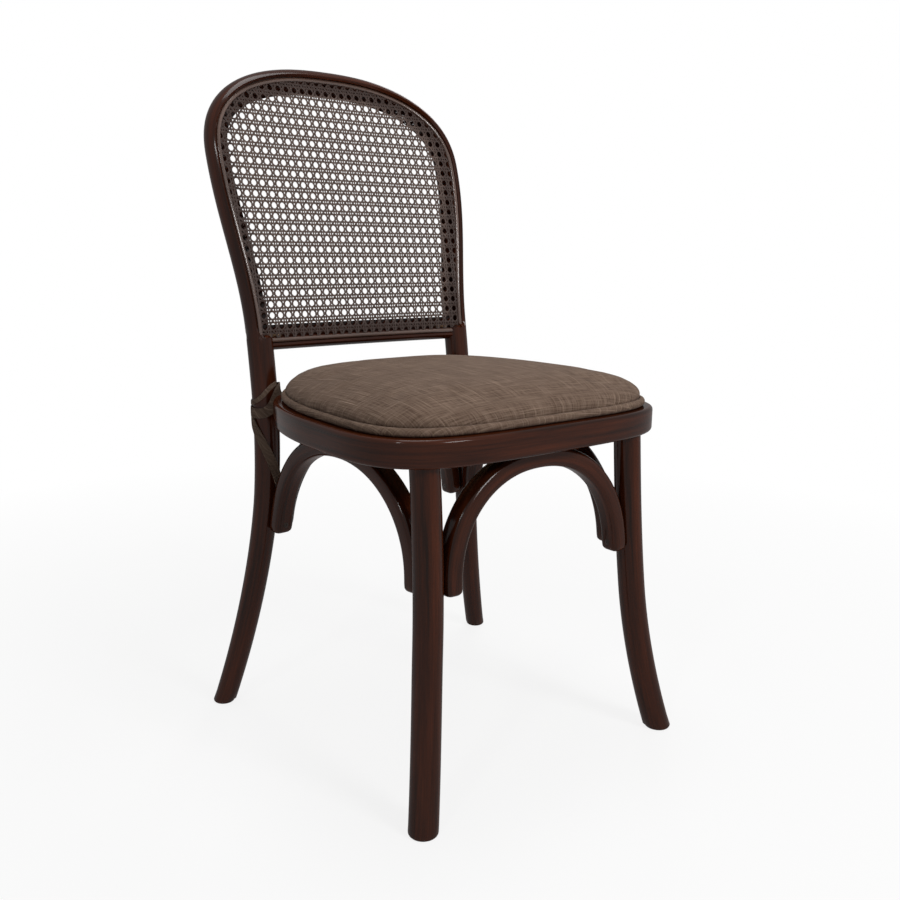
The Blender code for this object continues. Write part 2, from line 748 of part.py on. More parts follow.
class Arch:
    """An arch between two legs, in the upright plane of their centre lines or inboard of it."""

    def __init__(self, name, first, first_radius, second, second_radius, inboard=0.0):
        self.name = name
        self.inboard = inboard
        self.legs = (first, second)
        self.radii = (first_radius, second_radius)
        self.crown = RING_BOTTOM - GAP - ARCH_THICKNESS / 2

    def frame(self, z):
        """The middle between the legs, the direction to the second leg and half the distance."""
        first, second = self.legs[0](z), self.legs[1](z)
        span = second - first
        half = np.linalg.norm(span) / 2
        return (first + second) / 2, span / (2 * half), half

    def reach(self, z, end):
        """How far the centre line may go at a height towards the second leg, or the first with end -1."""
        radius = self.radii[0 if end < 0 else 1](z)
        return self.frame(z)[2] - radius - 2 * GAP - ARCH_THICKNESS / 2

    def place(self, along, z, across):
        middle, direction, _ = self.frame(z)
        sideways = np.cross(direction, (0, 0, 1))
        inwards = -math.copysign(self.inboard, middle[0])
        return Vector(middle + direction * along + sideways * across + (inwards, 0, 0))

    def line(self):
        """The centre line as (along, z), from the second leg over the crown to the first."""
        foot = ARCH_END + ARCH_ROUNDING
        angle = np.linspace(0, math.pi, EVEN_STEPS)
        heights = ARCH_SPRING + (self.crown - ARCH_SPRING) * rounded(np.sin(angle), ARCH_SQUARENESS)
        shares = rounded(np.cos(angle), ARCH_SQUARENESS)
        arch = [(share * self.reach(z, share), z) for share, z in zip(shares, heights)]
        start = [(self.reach(foot, 1), foot)]
        end = [(-self.reach(foot, -1), foot)]
        return even(start + arch + end, ARCH_STEPS)

    def mesh(self):
        edge = ARCH_THICKNESS / 2 - ARCH_ROUNDING
        line = self.line()
        outline = np.vstack([offset(line, edge, False), offset(line, -edge, False)[::-1]])
        half = ARCH_WIDTH / 2
        flat = plate(self.name, [outline], -half, half, ARCH_ROUNDING)
        return bend(flat, self.place)

    def screw_places(self):
        """Each screw's head and direction, with the leg that it enters. The crown's enters the ring."""
        places = []
        for end in (-1, 1):
            for z in (ARCH_END + SCREW_FIRST, ARCH_END + SCREW_FIRST + SCREW_SPACING):
                along = (self.reach(z, end) - ARCH_THICKNESS / 2) * end
                direction = self.frame(z)[1] * end
                places.append((self.place(along, z, 0), direction, end))
        under = self.crown - ARCH_THICKNESS / 2
        places.append((self.place(0, under, 0), (0, 0, 1), 0))
        return places


def screw_profile(spare):
    """A countersunk screw from its tip to its head, or with spare room round it the hole for it."""
    shank = SCREW_RADIUS + spare
    head = SCREW_HEAD_RADIUS + spare
    profile = [
        (0, SCREW_LENGTH + spare),
        (shank, SCREW_LENGTH - SCREW_RADIUS + spare),
        (shank, SCREW_HEAD_DEPTH + spare),
        (head, spare),
    ]
    if spare:
        profile.append((head, -SCREW_HEAD_DEPTH))
    return profile + [(0, profile[-1][1])]


def make_screws(bench, arch, pieces):
    """The arch's screws, with their holes in the arch and in what it is screwed to."""
    screw_mesh = profile_mesh("screw", screw_profile(0))
    hole_mesh = profile_mesh("screw_hole", screw_profile(GAP))
    for number, (start, direction, end) in enumerate(arch.screw_places(), 1):
        screw = bench.piece(f"{arch.name}_screw_{number}", screw_mesh, STEEL)
        hole = bench.cutter(f"{arch.name}_hole_{number}", hole_mesh)
        for thing in (screw, hole):
            turn(thing, SCREW_SIDES)
            aim(thing, start, direction)
        cut(pieces[arch.name], hole)
        cut(pieces[end], hole)


def main():
    clear_scene()
    bench = Bench()
    hoop = make_hoop(bench)
    rail = make_rail(bench)
    ring = make_ring(bench)
    rabbet = rabbet_cutter(bench)
    cut(hoop, rabbet)
    cut(rail, rabbet)
    make_cane(bench)
    make_spline(bench)
    cut(ring, make_seat_panel(bench))
    front_legs = {}
    for name, side in (("right", -1), ("left", 1)):
        post_space = post_cutter(bench, side)
        cut(rail, post_space)
        cut(ring, post_space)
        dowel_hole = make_rail_dowel(bench, f"rail_dowel_{name}", side)
        cut(rail, dowel_hole)
        cut(hoop, dowel_hole)
        bolt_hole = make_ring_bolt(bench, f"ring_bolt_{name}", side)
        cut(ring, bolt_hole)
        cut(hoop, bolt_hole)
        front_legs[side] = make_front_leg(bench, f"front_leg_{name}", side)
        cut(ring, tenon_socket(bench, side))
        make_tie(bench, f"pad_tie_{name}", side)
    right_front = mirrored(front_leg)
    right_rear = mirrored(rear_leg)
    arches = (
        (Arch("arch_front", right_front, front_radius, front_leg, front_radius), front_legs[-1], front_legs[1]),
        (Arch("arch_rear", right_rear, rear_radius, rear_leg, rear_radius), hoop, hoop),
        (Arch("arch_right", right_rear, rear_radius, right_front, front_radius, SIDE_ARCH_INBOARD),
         hoop, front_legs[-1]),
        (Arch("arch_left", rear_leg, rear_radius, front_leg, front_radius, SIDE_ARCH_INBOARD),
         hoop, front_legs[1]),
    )
    for arch, first, second in arches:
        pieces = {arch.name: bench.piece(arch.name, arch.mesh(), WALNUT), -1: first, 1: second, 0: ring}
        make_screws(bench, arch, pieces)
    make_pad(bench)
    make_piping(bench)


main()
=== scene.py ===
"""Looks of the bentwood dining chair: smooth bent rods under dark lacquer, a woven cane back, and a
linen seat pad with its piping and ties, in plain studio light. Metres, +Z up, the sitter faces -Y."""

import math

import bmesh
import bpy
import numpy as np
from mathutils import Matrix, Vector

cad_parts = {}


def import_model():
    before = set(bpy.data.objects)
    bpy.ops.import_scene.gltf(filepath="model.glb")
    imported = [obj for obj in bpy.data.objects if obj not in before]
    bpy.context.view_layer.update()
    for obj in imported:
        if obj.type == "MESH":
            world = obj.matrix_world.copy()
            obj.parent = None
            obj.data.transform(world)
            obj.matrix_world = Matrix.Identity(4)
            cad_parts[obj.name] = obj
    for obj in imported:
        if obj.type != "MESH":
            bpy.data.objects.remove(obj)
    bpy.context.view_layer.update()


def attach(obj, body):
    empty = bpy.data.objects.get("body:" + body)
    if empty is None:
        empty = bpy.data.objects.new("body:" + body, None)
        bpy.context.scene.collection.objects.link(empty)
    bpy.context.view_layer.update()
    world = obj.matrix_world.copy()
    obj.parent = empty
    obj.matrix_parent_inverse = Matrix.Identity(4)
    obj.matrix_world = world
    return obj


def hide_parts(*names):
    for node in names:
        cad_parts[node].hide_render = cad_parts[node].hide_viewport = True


# The camera, found from the photograph
CAMERA_AT = (-0.7776, -1.0111, 0.6439)
CAMERA_AZIMUTH = -38.894
CAMERA_ELEVATION = 12.153
CAMERA_ROLL = 0.678
CAMERA_LENS = 37.93
CAMERA_SENSOR = 36
CAMERA_CLIP = 0.05

# Seat ring, in the sizes of the solids
RING_TOP = 0.443
RING_HEIGHT = 0.0325
RING_WIDTH = 0.062
RING_ROUNDING = 0.005
SEAT_HALF_WIDTH = 0.2263
SEAT_FRONT = 0.1929
SEAT_REAR = 0.2318
SEAT_CENTRE_Y = -0.0613
SEAT_FRONT_SQUARENESS = 4.0
SEAT_REAR_SQUARENESS = 5.5
SEAT_TAPER = 0.056
SEAT_REAR_DRAW = 0.274
RING_STEPS = 180
RING_CORNER_STEPS = 7
RING_GRAIN_LENGTH = 1.3

# Bent rod of the hoop and the rear legs
HEIGHT = 0.890
ROD_RADIUS = 0.0176
REAR_FOOT_RADIUS = 0.0148
REAR_TAPER_TO = 0.400
POST_HALF_SPACING = 0.1708
POST_NOTCH = 0.001
REAR_SPLAY = 0.0655
REAR_SPLAY_FROM = 0.450
REAR_SWEEP = 0.0348
REAR_SWEEP_POWER = 1.45
KNEE_HEIGHT = 0.300
HOOP_FLARE_FROM = 0.525
HOOP_WIDEST_AT = 0.760
HOOP_HALF_WIDTH = 0.1935
HOOP_SQUARENESS = 2.38
BACK_SWEEP = 0.1142
BACK_SWEEP_POWER = 1.85
BACK_BOW_RADIUS = 2.039
ROD_STEP = 0.010
ROD_SIDES = 56
HOOP_TOP_STEPS = 90
EVEN_STEPS = 600
FINE_STEPS = 3600
SHARP_ANGLE = math.radians(38)

# Lower rail, rabbet and spline
RAIL_HEIGHT = 0.5185
RAIL_RADIUS = 0.0172
RAIL_END_INSET = ROD_RADIUS / 3
RAIL_STEPS = 40
CANE_FORWARD = 0.0104
CANE_THICKNESS = 0.002
BEVEL_START = 0.0100
BEVEL_END = (-0.0067, 0.0118)
LEDGE = 0.0076
LEDGE_END = 0.0010
RABBET_FLOOR = -0.004
RABBET_POINTS = 7
BEAD_CENTRE = -0.0031
BEAD_HALF_WIDTH = 0.0027
BEAD_SIDE = 0.0100
BEAD_RISE = 0.0021
BEAD_STEPS = 11
BEAD_GRAIN_LENGTH = 2
OPENING_STEPS = 260

# Woven cane
CANE_PITCH_X = 0.01322
CANE_PITCH_Z = 0.0147
STRAND_WIDTH = 0.0024
STRAND_THICKNESS = 0.0006
UPRIGHT_SPREAD = 0.0016
LEVEL_SPREAD = 0.0022
DIAGONAL_WIDTH = 0.0024
WEAVE_RISE = 0.0005
WOVEN_SHARE = 0.9
WEAVE_STEP = CANE_PITCH_X / 4
# Side and share of the rise of each upright in a pair
UPRIGHT_SHARES = ((-1, -0.6), (1, 0.5))
# Corners of a strand, in halves of its width and of its thickness
STRAND_SECTION = ((-1, 0), (-0.5, 1), (0.5, 1), (1, 0), (0.5, -1), (-0.5, -1))
STRAND_SAMPLES = 400
STRAND_GRAIN_SHIFT = 0.01
# Cane near the opening's edge is darker: partly stain, partly painted shade from the frame
STAIN_AND_SHADE_TO = 0.0185
STAIN_AND_SHADE_FADE = 0.003

# Front legs
FRONT_LEG_RADIUS = 0.0175
FRONT_HALF_SPACING = 0.166
FRONT_LEG_INSET = 0.0295
FRONT_SPLAY = 0.0362
FRONT_SPLAY_FROM = 0.400
FRONT_SPLAY_POWER = 2.5
FRONT_LEAN = 0.0758
FRONT_SWEEP = 0.0179
FRONT_SWEEP_FROM = 0.200
FRONT_SWEEP_POWER = 1.8
FOOT_EDGE = 0.004
FOOT_STEPS = 6
UPRIGHT_BELOW = 1.1 * FOOT_EDGE

# Arch braces and their screws
ARCH_END = 0.257
ARCH_FOOT = 0.014
ARCH_THICKNESS = 0.0245
ARCH_WIDTH = 0.027
ARCH_ROUNDING = 0.0072
ARCH_CORNER_STEPS = 5
ARCH_SQUARENESS = 2.15
ARCH_STEPS = 90
ARCH_END_STEPS = 6
SIDE_ARCH_INBOARD = 0.009
SCREW_FIRST = 0.012
SCREW_SPACING = 0.020
SCREW_HEAD = 0.0038
SCREW_PROUD = 0.0005
SCREW_SUNK = 0.0006
SCREW_SIDES = 24

# Pad, piping and ties
GAP = 0.0003
PIPING_RADIUS = 0.005
PIPING_INSET = 0.0155
PIPING_STEPS = 320
PIPING_SIDES = 20
PIPING_UNEVENNESS = 0.012
PIPING_WAVES = (0.9, 0.23)
PAD_EDGE_INSET = 0.0125
PAD_LIP = 0.0005
PAD_CROWN = 0.0364
PAD_CROWN_POWER = 2.8
PAD_CROWN_ROOT = 2.3
PAD_RINGS = 22
PAD_VOXEL = 0.005
PAD_SWELL = 0.003
PAD_PRESSURE = 4
PAD_STIFFNESS = 40
PAD_FRAMES = 20
PAD_TOP = RING_TOP + 0.05
PAD_QUALITY = 6
PAD_SMOOTHINGS = 8
TIE_THICKNESS = 0.0016
STRAP_STEPS = 60
STRAP_SMOOTHINGS = 6
# Corners of a strap, in halves of its width and of its thickness
STRAP_SECTION = ((-1, -1), (-1.02, 0), (-1, 1), (-0.4, 1.25), (0.4, 1.25), (1, 1), (1.02, 0), (1, -1))
# What the photograph sees as right of the post, in degrees from the direction of the seat's middle
POST_RIGHT = 23
# Knots of the ties, as strap() reads them: right, out, height, facing and width
OVER_KNOTS = (
    (16, 11, 459, -15, 6),
    (12, 14.8, 457, -30, 6),
    (6, 18.0, 453, -49, 6),
    (0, 19.1, 446.5, -67, 6),
    (-6, 18.0, 440.5, -86, 6),
    (-12, 14.8, 436, -106, 6),
    (-17, 8.7, 433, -130, 6),
    (-19.1, 0, 432, -157, 6),
    (-17, -8.5, 433, -184, 7),
    (-8, -17.2, 438, -222, 9),
    (4, -18.7, 444, -260, 9),
    (14, -13.0, 452, -294, 9),
)
BAND_KNOTS = (
    (14.5, -14.0, 450, 66, 12),
    (20.4, -4, 453, 34, 12.5),
    (21.5, 4, 453, -5, 13),
    (20, 9.5, 450, -35, 14),
    (18.5, 12, 445, -50, 15.5),
    (16.5, 13.8, 440.5, -55, 16),
    (13, 16.3, 433.5, -60, 15.5),
    (8.5, 18.6, 427.5, -62, 14.6),
    (2.5, 20.2, 422.8, -65, 13.8),
    (-4, 20.0, 420, -79, 13.4),
    (-10.5, 17.3, 419.6, -98, 13.4),
    (-15.6, 12.7, 419.7, -118, 13.4),
    (-19.2, 5.8, 420, -140, 13.4),
    (-20.1, 0, 420.5, -157, 13.4),
    (-18.2, -8.5, 421.5, -182, 13.4),
    (-11.5, -16.4, 423, -212, 13.4),
    (-2, -19.9, 425, -241, 13.4),
    (9, -17.8, 430, -274, 13.4),
)
TAIL_KNOTS = (
    (-18.9, -2.5, 422, -158, 12),
    (-19, 2.5, 414, -150, 12.4),
    (-17, 8.9, 403, -130, 12.4),
    (-11.5, 15.2, 389.5, -104, 12.4),
    (-4, 18.9, 375, -79, 12.4),
    (4, 19.0, 357.5, -60, 12.4),
    (10.5, 16.9, 340.5, -45, 12.2),
    (15.5, 13.8, 324, -32, 12),
)

RING_BOTTOM = RING_TOP - RING_HEIGHT
RING_MIDDLE = RING_TOP - RING_HEIGHT / 2
HOOP_TOP = HEIGHT - ROD_RADIUS
ARCH_SPRING = ARCH_END + ARCH_FOOT
PAD_SIDE_INSET = PIPING_INSET + PIPING_RADIUS + GAP
PAD_SIDE_HEIGHT = 2 * (PIPING_RADIUS + GAP)
PAD_EDGE_HEIGHT = PAD_SIDE_HEIGHT + PAD_LIP
TO_FRONT = np.array([0.0, -1.0, 0.0])
UPWARDS = np.array([0.0, 0.0, 1.0])

# Looks
# The spline's colours, lighter than the rod's: partly the rattan's own tone, partly a painted highlight that
# makes the bead show as a light line
BEAD_TONE_AND_HIGHLIGHT = {
    "pore": (46, 32, 26),
    "dark": (60, 42, 34),
    "middle": (76, 55, 46),
    "light": (108, 84, 74),
    "gloss": 1.0,
}
PAD_SHADE = 1.04
# The ties are the pad's cloth made darker: painted shade
STRAP_PAINTED_SHADE = 0.84

# Floor and world
FLOOR_SIZE = 12.0
FLOOR_DIFFUSE = 0.9
FLOOR_SHADOW_WITHIN = 0.5
FLOOR_WHITE_FROM = 1.6
FLOOR_WHITE_SHARE = 0.85
WORLD_LIGHT = 0.15


# Lines, by the same rules as the solids

def unit(vectors):
    return vectors / np.linalg.norm(vectors, axis=1)[:, None]


def walked(line):
    """The distance along a line to each of its points."""
    return np.concatenate([[0], np.cumsum(np.linalg.norm(np.diff(line, axis=0), axis=1))])


def at_stops(line, along, stops):
    """The line's points, or rows of a table, at other distances than those in along."""
    return np.column_stack([np.interp(stops, along, column) for column in line.T])


def even(line, count, closed=False):
    """The same line walked in count equal steps."""
    line = np.asarray(line)
    if closed:
        line = np.vstack([line, line[:1]])
    along = walked(line)
    stops = np.linspace(0, along[-1], count + 1)
    if closed:
        stops = stops[:-1]
    return at_stops(line, along, stops)


def heading(line, closed=False):
    """The direction of a line at each of its points."""
    if closed:
        return unit(np.roll(line, -1, axis=0) - np.roll(line, 1, axis=0))
    return unit(np.gradient(line, axis=0))


def offset(line, distance, closed=True):
    """A flat line that runs anticlockwise, moved outwards by distance."""
    ahead = heading(line, closed)
    return line + distance * np.column_stack([ahead[:, 1], -ahead[:, 0]])


def rounded(value, power):
    return np.sign(value) * np.abs(value) ** (2 / power)


def seat_outline(inset, count=RING_STEPS):
    """The seat's outline seen from above, moved inwards by inset."""
    angle = np.linspace(0, 2 * math.pi, FINE_STEPS, endpoint=False)
    at_front = np.sin(angle) < 0
    depth = np.where(at_front, SEAT_FRONT, SEAT_REAR)
    power = np.where(at_front, SEAT_FRONT_SQUARENESS, SEAT_REAR_SQUARENESS)
    y = depth * rounded(np.sin(angle), power)
    x = SEAT_HALF_WIDTH * rounded(np.cos(angle), power)
    back = y / SEAT_REAR
    x = x * (1 - SEAT_TAPER * back - SEAT_REAR_DRAW * np.maximum(back, 0) ** 2)
    fine = even(np.column_stack([x, y + SEAT_CENTRE_Y]), EVEN_STEPS, closed=True)
    return even(offset(fine, -inset), count, closed=True)


def seat_opening(inset):
    """The ring's inner edge, a smaller outline of the same shape."""
    centre = np.array([0, SEAT_CENTRE_Y + (SEAT_REAR - SEAT_FRONT) / 2])
    half = np.array([SEAT_HALF_WIDTH, (SEAT_REAR + SEAT_FRONT) / 2])
    return centre + (seat_outline(0) - centre) * (1 - inset / half)


def seat_y(half_spacing, inset, at_front):
    """Where a line beside the seat's edge passes a leg's distance from the middle."""
    line = seat_outline(inset, EVEN_STEPS)
    beside = (line[:, 0] > 0) & ((line[:, 1] < SEAT_CENTRE_Y) == at_front)
    line = line[beside]
    order = np.argsort(line[:, 0])
    return float(np.interp(half_spacing, line[order, 0], line[order, 1]))


POST_Y = seat_y(POST_HALF_SPACING, POST_NOTCH - ROD_RADIUS, at_front=False)
FRONT_LEG_Y = seat_y(FRONT_HALF_SPACING, FRONT_LEG_INSET, at_front=True)
POST_RISE = (RING_MIDDLE - KNEE_HEIGHT) / (HOOP_TOP - KNEE_HEIGHT)
KNEE_Y = POST_Y - BACK_SWEEP * POST_RISE**BACK_SWEEP_POWER


def back_y(x, z):
    """The curved sheet that the hoop's centre line lies in."""
    rise = np.maximum(z - KNEE_HEIGHT, 0) / (HOOP_TOP - KNEE_HEIGHT)
    bow = (x * x - POST_HALF_SPACING**2) / (2 * BACK_BOW_RADIUS)
    return KNEE_Y + BACK_SWEEP * rise**BACK_SWEEP_POWER - bow


def onto_back(x, z, forward):
    return np.stack([x, back_y(x, z) - forward, z], axis=-1)


def rod_x(z):
    """Half the spacing of the rear rod's two sides, up to its widest place."""
    if z < REAR_SPLAY_FROM:
        return POST_HALF_SPACING + REAR_SPLAY * (1 - z / REAR_SPLAY_FROM) ** 2
    share = min(max((z - HOOP_FLARE_FROM) / (HOOP_WIDEST_AT - HOOP_FLARE_FROM), 0), 1)
    flare = (1 - math.cos(math.pi * share)) / 2
    return POST_HALF_SPACING + (HOOP_HALF_WIDTH - POST_HALF_SPACING) * flare


def rear_leg(z):
    """The left rear leg's centre at a height."""
    x = rod_x(z)
    if z >= KNEE_HEIGHT:
        return np.array([x, back_y(x, z), z])
    sweep = REAR_SWEEP * (1 - z / KNEE_HEIGHT) ** REAR_SWEEP_POWER
    return np.array([x, back_y(rod_x(KNEE_HEIGHT), KNEE_HEIGHT) + sweep, z])


def rear_radius(z):
    return REAR_FOOT_RADIUS + (ROD_RADIUS - REAR_FOOT_RADIUS) * min(z / REAR_TAPER_TO, 1)


def front_leg(z):
    """The left front leg's centre at a height."""
    splay = FRONT_SPLAY * max(1 - z / FRONT_SPLAY_FROM, 0) ** FRONT_SPLAY_POWER
    sweep = FRONT_SWEEP * max(1 - z / FRONT_SWEEP_FROM, 0) ** FRONT_SWEEP_POWER
    lean = FRONT_LEAN * (RING_BOTTOM - min(z, RING_BOTTOM))
    return np.array([FRONT_HALF_SPACING + splay, FRONT_LEG_Y - lean - sweep, z])


def front_radius(z):
    """The same at every height. It is called as rear_radius is."""
    return FRONT_LEG_RADIUS


def mirrored(leg):
    return lambda z: leg(z) * (-1, 1, 1)


def hoop_line():
    """The hoop above its widest place, as (x, z), from the left side over the top to the right side."""
    angle = np.linspace(0, math.pi, FINE_STEPS)
    x = HOOP_HALF_WIDTH * rounded(np.cos(angle), HOOP_SQUARENESS)
    z = HOOP_WIDEST_AT + (HOOP_TOP - HOOP_WIDEST_AT) * rounded(np.sin(angle), HOOP_SQUARENESS)
    return np.column_stack([x, z])


def opening(inset):
    """The opening of the back, as an anticlockwise (x, z) loop, inset from the centre of rod and rail."""
    sill = RAIL_HEIGHT + inset
    heights = np.linspace(RAIL_HEIGHT - 2 * ROD_RADIUS, HOOP_WIDEST_AT, EVEN_STEPS)[:-1]
    left = np.array([(rod_x(z), z) for z in heights])
    line = np.vstack([left, hoop_line(), left[::-1] * (-1, 1)])
    line = offset(even(line, EVEN_STEPS), -inset, closed=False)
    above = line[line[:, 1] > sill]
    corner = np.array([above[0, 0], sill])
    return even(np.vstack([corner, above, corner * (-1, 1)]), OPENING_STEPS, closed=True)


# Meshes

def mesh_from(name, points, faces, grain=None):
    """A mesh from arrays. grain gives each point its place in the straight wood before it was bent."""
    mesh = bpy.data.meshes.new(name)
    mesh.from_pydata(points.tolist(), [], faces)
    if grain is not None:
        mesh.attributes.new("grain", "FLOAT_VECTOR", "POINT").data.foreach_set("vector", grain.ravel())
    bm = bmesh.new()
    bm.from_mesh(mesh)
    bmesh.ops.recalc_face_normals(bm, faces=bm.faces)
    bm.to_mesh(mesh)
    bm.free()
    mesh.shade_smooth()
    mesh.set_sharp_from_angle(angle=SHARP_ANGLE)
    return mesh


def tube_faces(stations, around, closed=False):
    """Quads between loops of points that follow each other, with caps where the tube is open."""
    faces = []
    for i in range(stations if closed else stations - 1):
        a = i * around
        b = (i + 1) % stations * around
        for j in range(around):
            k = (j + 1) % around
            faces.append((a + j, a + k, b + k, b + j))
    if not closed:
        faces.append(tuple(range(around))[::-1])
        faces.append(tuple(range((stations - 1) * around, stations * around)))
    return faces


def sweep(name, path, sections, closed=False, facing=TO_FRONT):
    """A solid through a section at each point of a path. A section is (inset, forward) from the path, with
    forward towards facing and inset square to it."""
    path = np.asarray(path, float)
    sections = np.asarray(sections, float)
    ahead = heading(path, closed)
    on_floor = path[:, 2] < UPRIGHT_BELOW
    ahead[on_floor] = UPWARDS * np.sign(ahead[on_floor, 2:])
    front = unit(facing - (ahead @ facing)[:, None] * ahead)
    inwards = np.cross(front, ahead)
    points = path[:, None] + sections[..., :1] * inwards[:, None] + sections[..., 1:] * front[:, None]
    lengths = np.broadcast_to(walked(path)[:, None, None], sections[..., :1].shape)
    grain = np.concatenate([sections, lengths], axis=-1)
    stations, around = sections.shape[:2]
    faces = tube_faces(stations, around, closed)
    return mesh_from(name, points.reshape(-1, 3), faces, grain.reshape(-1, 3))


def circle(radius, sides, start=0.0):
    angle = start + np.linspace(0, 2 * math.pi, sides, endpoint=False)
    return radius * np.column_stack([np.cos(angle), np.sin(angle)])


def add(name, mesh, material, *nodes):
    """A piece of the scene that stands for CAD nodes."""
    thing = bpy.data.objects.new(name, mesh)
    bpy.context.scene.collection.objects.link(thing)
    mesh.materials.clear()
    mesh.materials.append(material)
    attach(thing, "root")
    if nodes:
        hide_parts(*nodes)


# Materials

class Shader:
    """Builds a node material with few words."""

    def __init__(self, name):
        self.material = bpy.data.materials.new(name)
        self.material.use_nodes = True
        self.nodes = self.material.node_tree.nodes
        self.links = self.material.node_tree.links
        self.surface = self.nodes["Principled BSDF"]

    def node(self, kind, settings=None, **inputs):
        made = self.nodes.new(kind)
        for key, value in (settings or {}).items():
            setattr(made, key, value)
        for key, value in inputs.items():
            self.put(made, key.replace("_", " "), value)
        return made

    def put(self, node, socket, value):
        target = node.inputs[socket]
        if isinstance(value, bpy.types.NodeSocket):
            self.links.new(value, target)
        else:
            target.default_value = value

    def look(self, **inputs):
        for key, value in inputs.items():
            self.put(self.surface, key.replace("_", " "), value)

    def scale_by(self, vector, factor):
        made = self.nodes.new("ShaderNodeVectorMath")
        made.operation = "SCALE"
        self.links.new(vector, made.inputs[0])
        self.links.new(factor, made.inputs["Scale"])
        return made.outputs["Vector"]

    def vector(self, operation, first, second=None):
        made = self.nodes.new("ShaderNodeVectorMath")
        made.operation = operation
        self.set_first_two(made, first, second)
        return made.outputs["Value" if operation == "LENGTH" else "Vector"]

    def number(self, operation, first, second):
        made = self.nodes.new("ShaderNodeMath")
        made.operation = operation
        self.set_first_two(made, first, second)
        return made.outputs[0]

    def set_first_two(self, node, first, second):
        for index, value in enumerate((first, second)):
            if value is None:
                continue
            if isinstance(value, bpy.types.NodeSocket):
                self.links.new(value, node.inputs[index])
            else:
                node.inputs[index].default_value = value

    def noise(self, vector, scale=1.0, detail=4.0, roughness=0.6):
        return self.node("ShaderNodeTexNoise", Vector=vector, Scale=scale, Detail=detail,
                         Roughness=roughness).outputs[0]

    def spread(self, value, low, high, to_low=0.0, to_high=1.0):
        return self.node("ShaderNodeMapRange", Value=value, From_Min=low, From_Max=high,
                         To_Min=to_low, To_Max=to_high).outputs[0]

    def mix(self, factor, first, second):
        made = self.nodes.new("ShaderNodeMix")
        made.data_type = "RGBA"
        for index, value in ((0, factor), (6, first), (7, second)):
            if isinstance(value, bpy.types.NodeSocket):
                self.links.new(value, made.inputs[index])
            else:
                made.inputs[index].default_value = value
        return made.outputs[2]

    def bump(self, height, distance, strength):
        return self.node("ShaderNodeBump", Height=height, Distance=distance, Strength=strength).outputs[0]


def rgb(red, green, blue):
    """An sRGB colour of 0 to 255 as a linear one."""
    channels = []
    for value in (red, green, blue):
        share = value / 255
        channels.append(share / 12.92 if share <= 0.04045 else ((share + 0.055) / 1.055) ** 2.4)
    return (*channels, 1.0)


def walnut_lacquer(pore=(16, 6, 3), dark=(28, 10, 3), middle=(43, 16, 7), light=(77, 34, 15), gloss=0.28):
    """Dark stained beech with streaks along the bend, under satin lacquer."""
    make = Shader("walnut_lacquer")
    grain = make.node("ShaderNodeAttribute", {"attribute_name": "grain"}).outputs["Vector"]
    streaks = make.noise(make.vector("MULTIPLY", grain, (130, 130, 5)), detail=6, roughness=0.65)
    pores = make.noise(make.vector("MULTIPLY", grain, (900, 900, 28)), detail=3)
    clouds = make.noise(make.vector("MULTIPLY", grain, (22, 22, 5)), detail=2)
    tone = make.spread(streaks, 0.32, 0.68)
    wood = make.mix(tone, rgb(*dark), rgb(*light))
    wood = make.mix(make.spread(clouds, 0.35, 0.7, 0, 0.55), wood, rgb(*middle))
    wood = make.mix(make.spread(pores, 0.55, 0.75, 0, 0.5), wood, rgb(*pore))
    make.look(Base_Color=wood, Roughness=make.spread(streaks, 0.3, 0.7, 0.3, 0.4),
              Specular_IOR_Level=0.0, Coat_Weight=gloss, Coat_Roughness=0.15,
              Normal=make.bump(pores, 0.00015, 0.35))
    return make.material


def stained_cane():
    """Split rattan with a satin rind. It is darker on the ledge by the frame, partly from stain and glue
    soaked in and partly as painted shade from the frame's edge.
    """
    make = Shader("stained_cane")
    grain = make.node("ShaderNodeAttribute", {"attribute_name": "grain"}).outputs["Vector"]
    fibres = make.noise(make.vector("MULTIPLY", grain, (900, 900, 40)), detail=4)
    patches = make.noise(make.vector("MULTIPLY", grain, (30, 30, 30)), detail=2)
    tone = make.mix(make.spread(fibres, 0.3, 0.7), rgb(54, 42, 37), rgb(110, 92, 84))
    tone = make.mix(make.spread(patches, 0.35, 0.7, 0, 0.6), tone, rgb(68, 53, 46))
    soaked = make.node("ShaderNodeAttribute", {"attribute_name": "soaked"}).outputs["Fac"]
    # Darker near the frame: partly stain, partly painted shade
    tone = make.mix(make.number("MULTIPLY", soaked, 0.75), tone, rgb(44, 28, 23))
    make.look(Base_Color=tone, Roughness=0.42, Specular_IOR_Level=0.2,
              Normal=make.bump(fibres, 0.0002, 0.5))
    return make.material


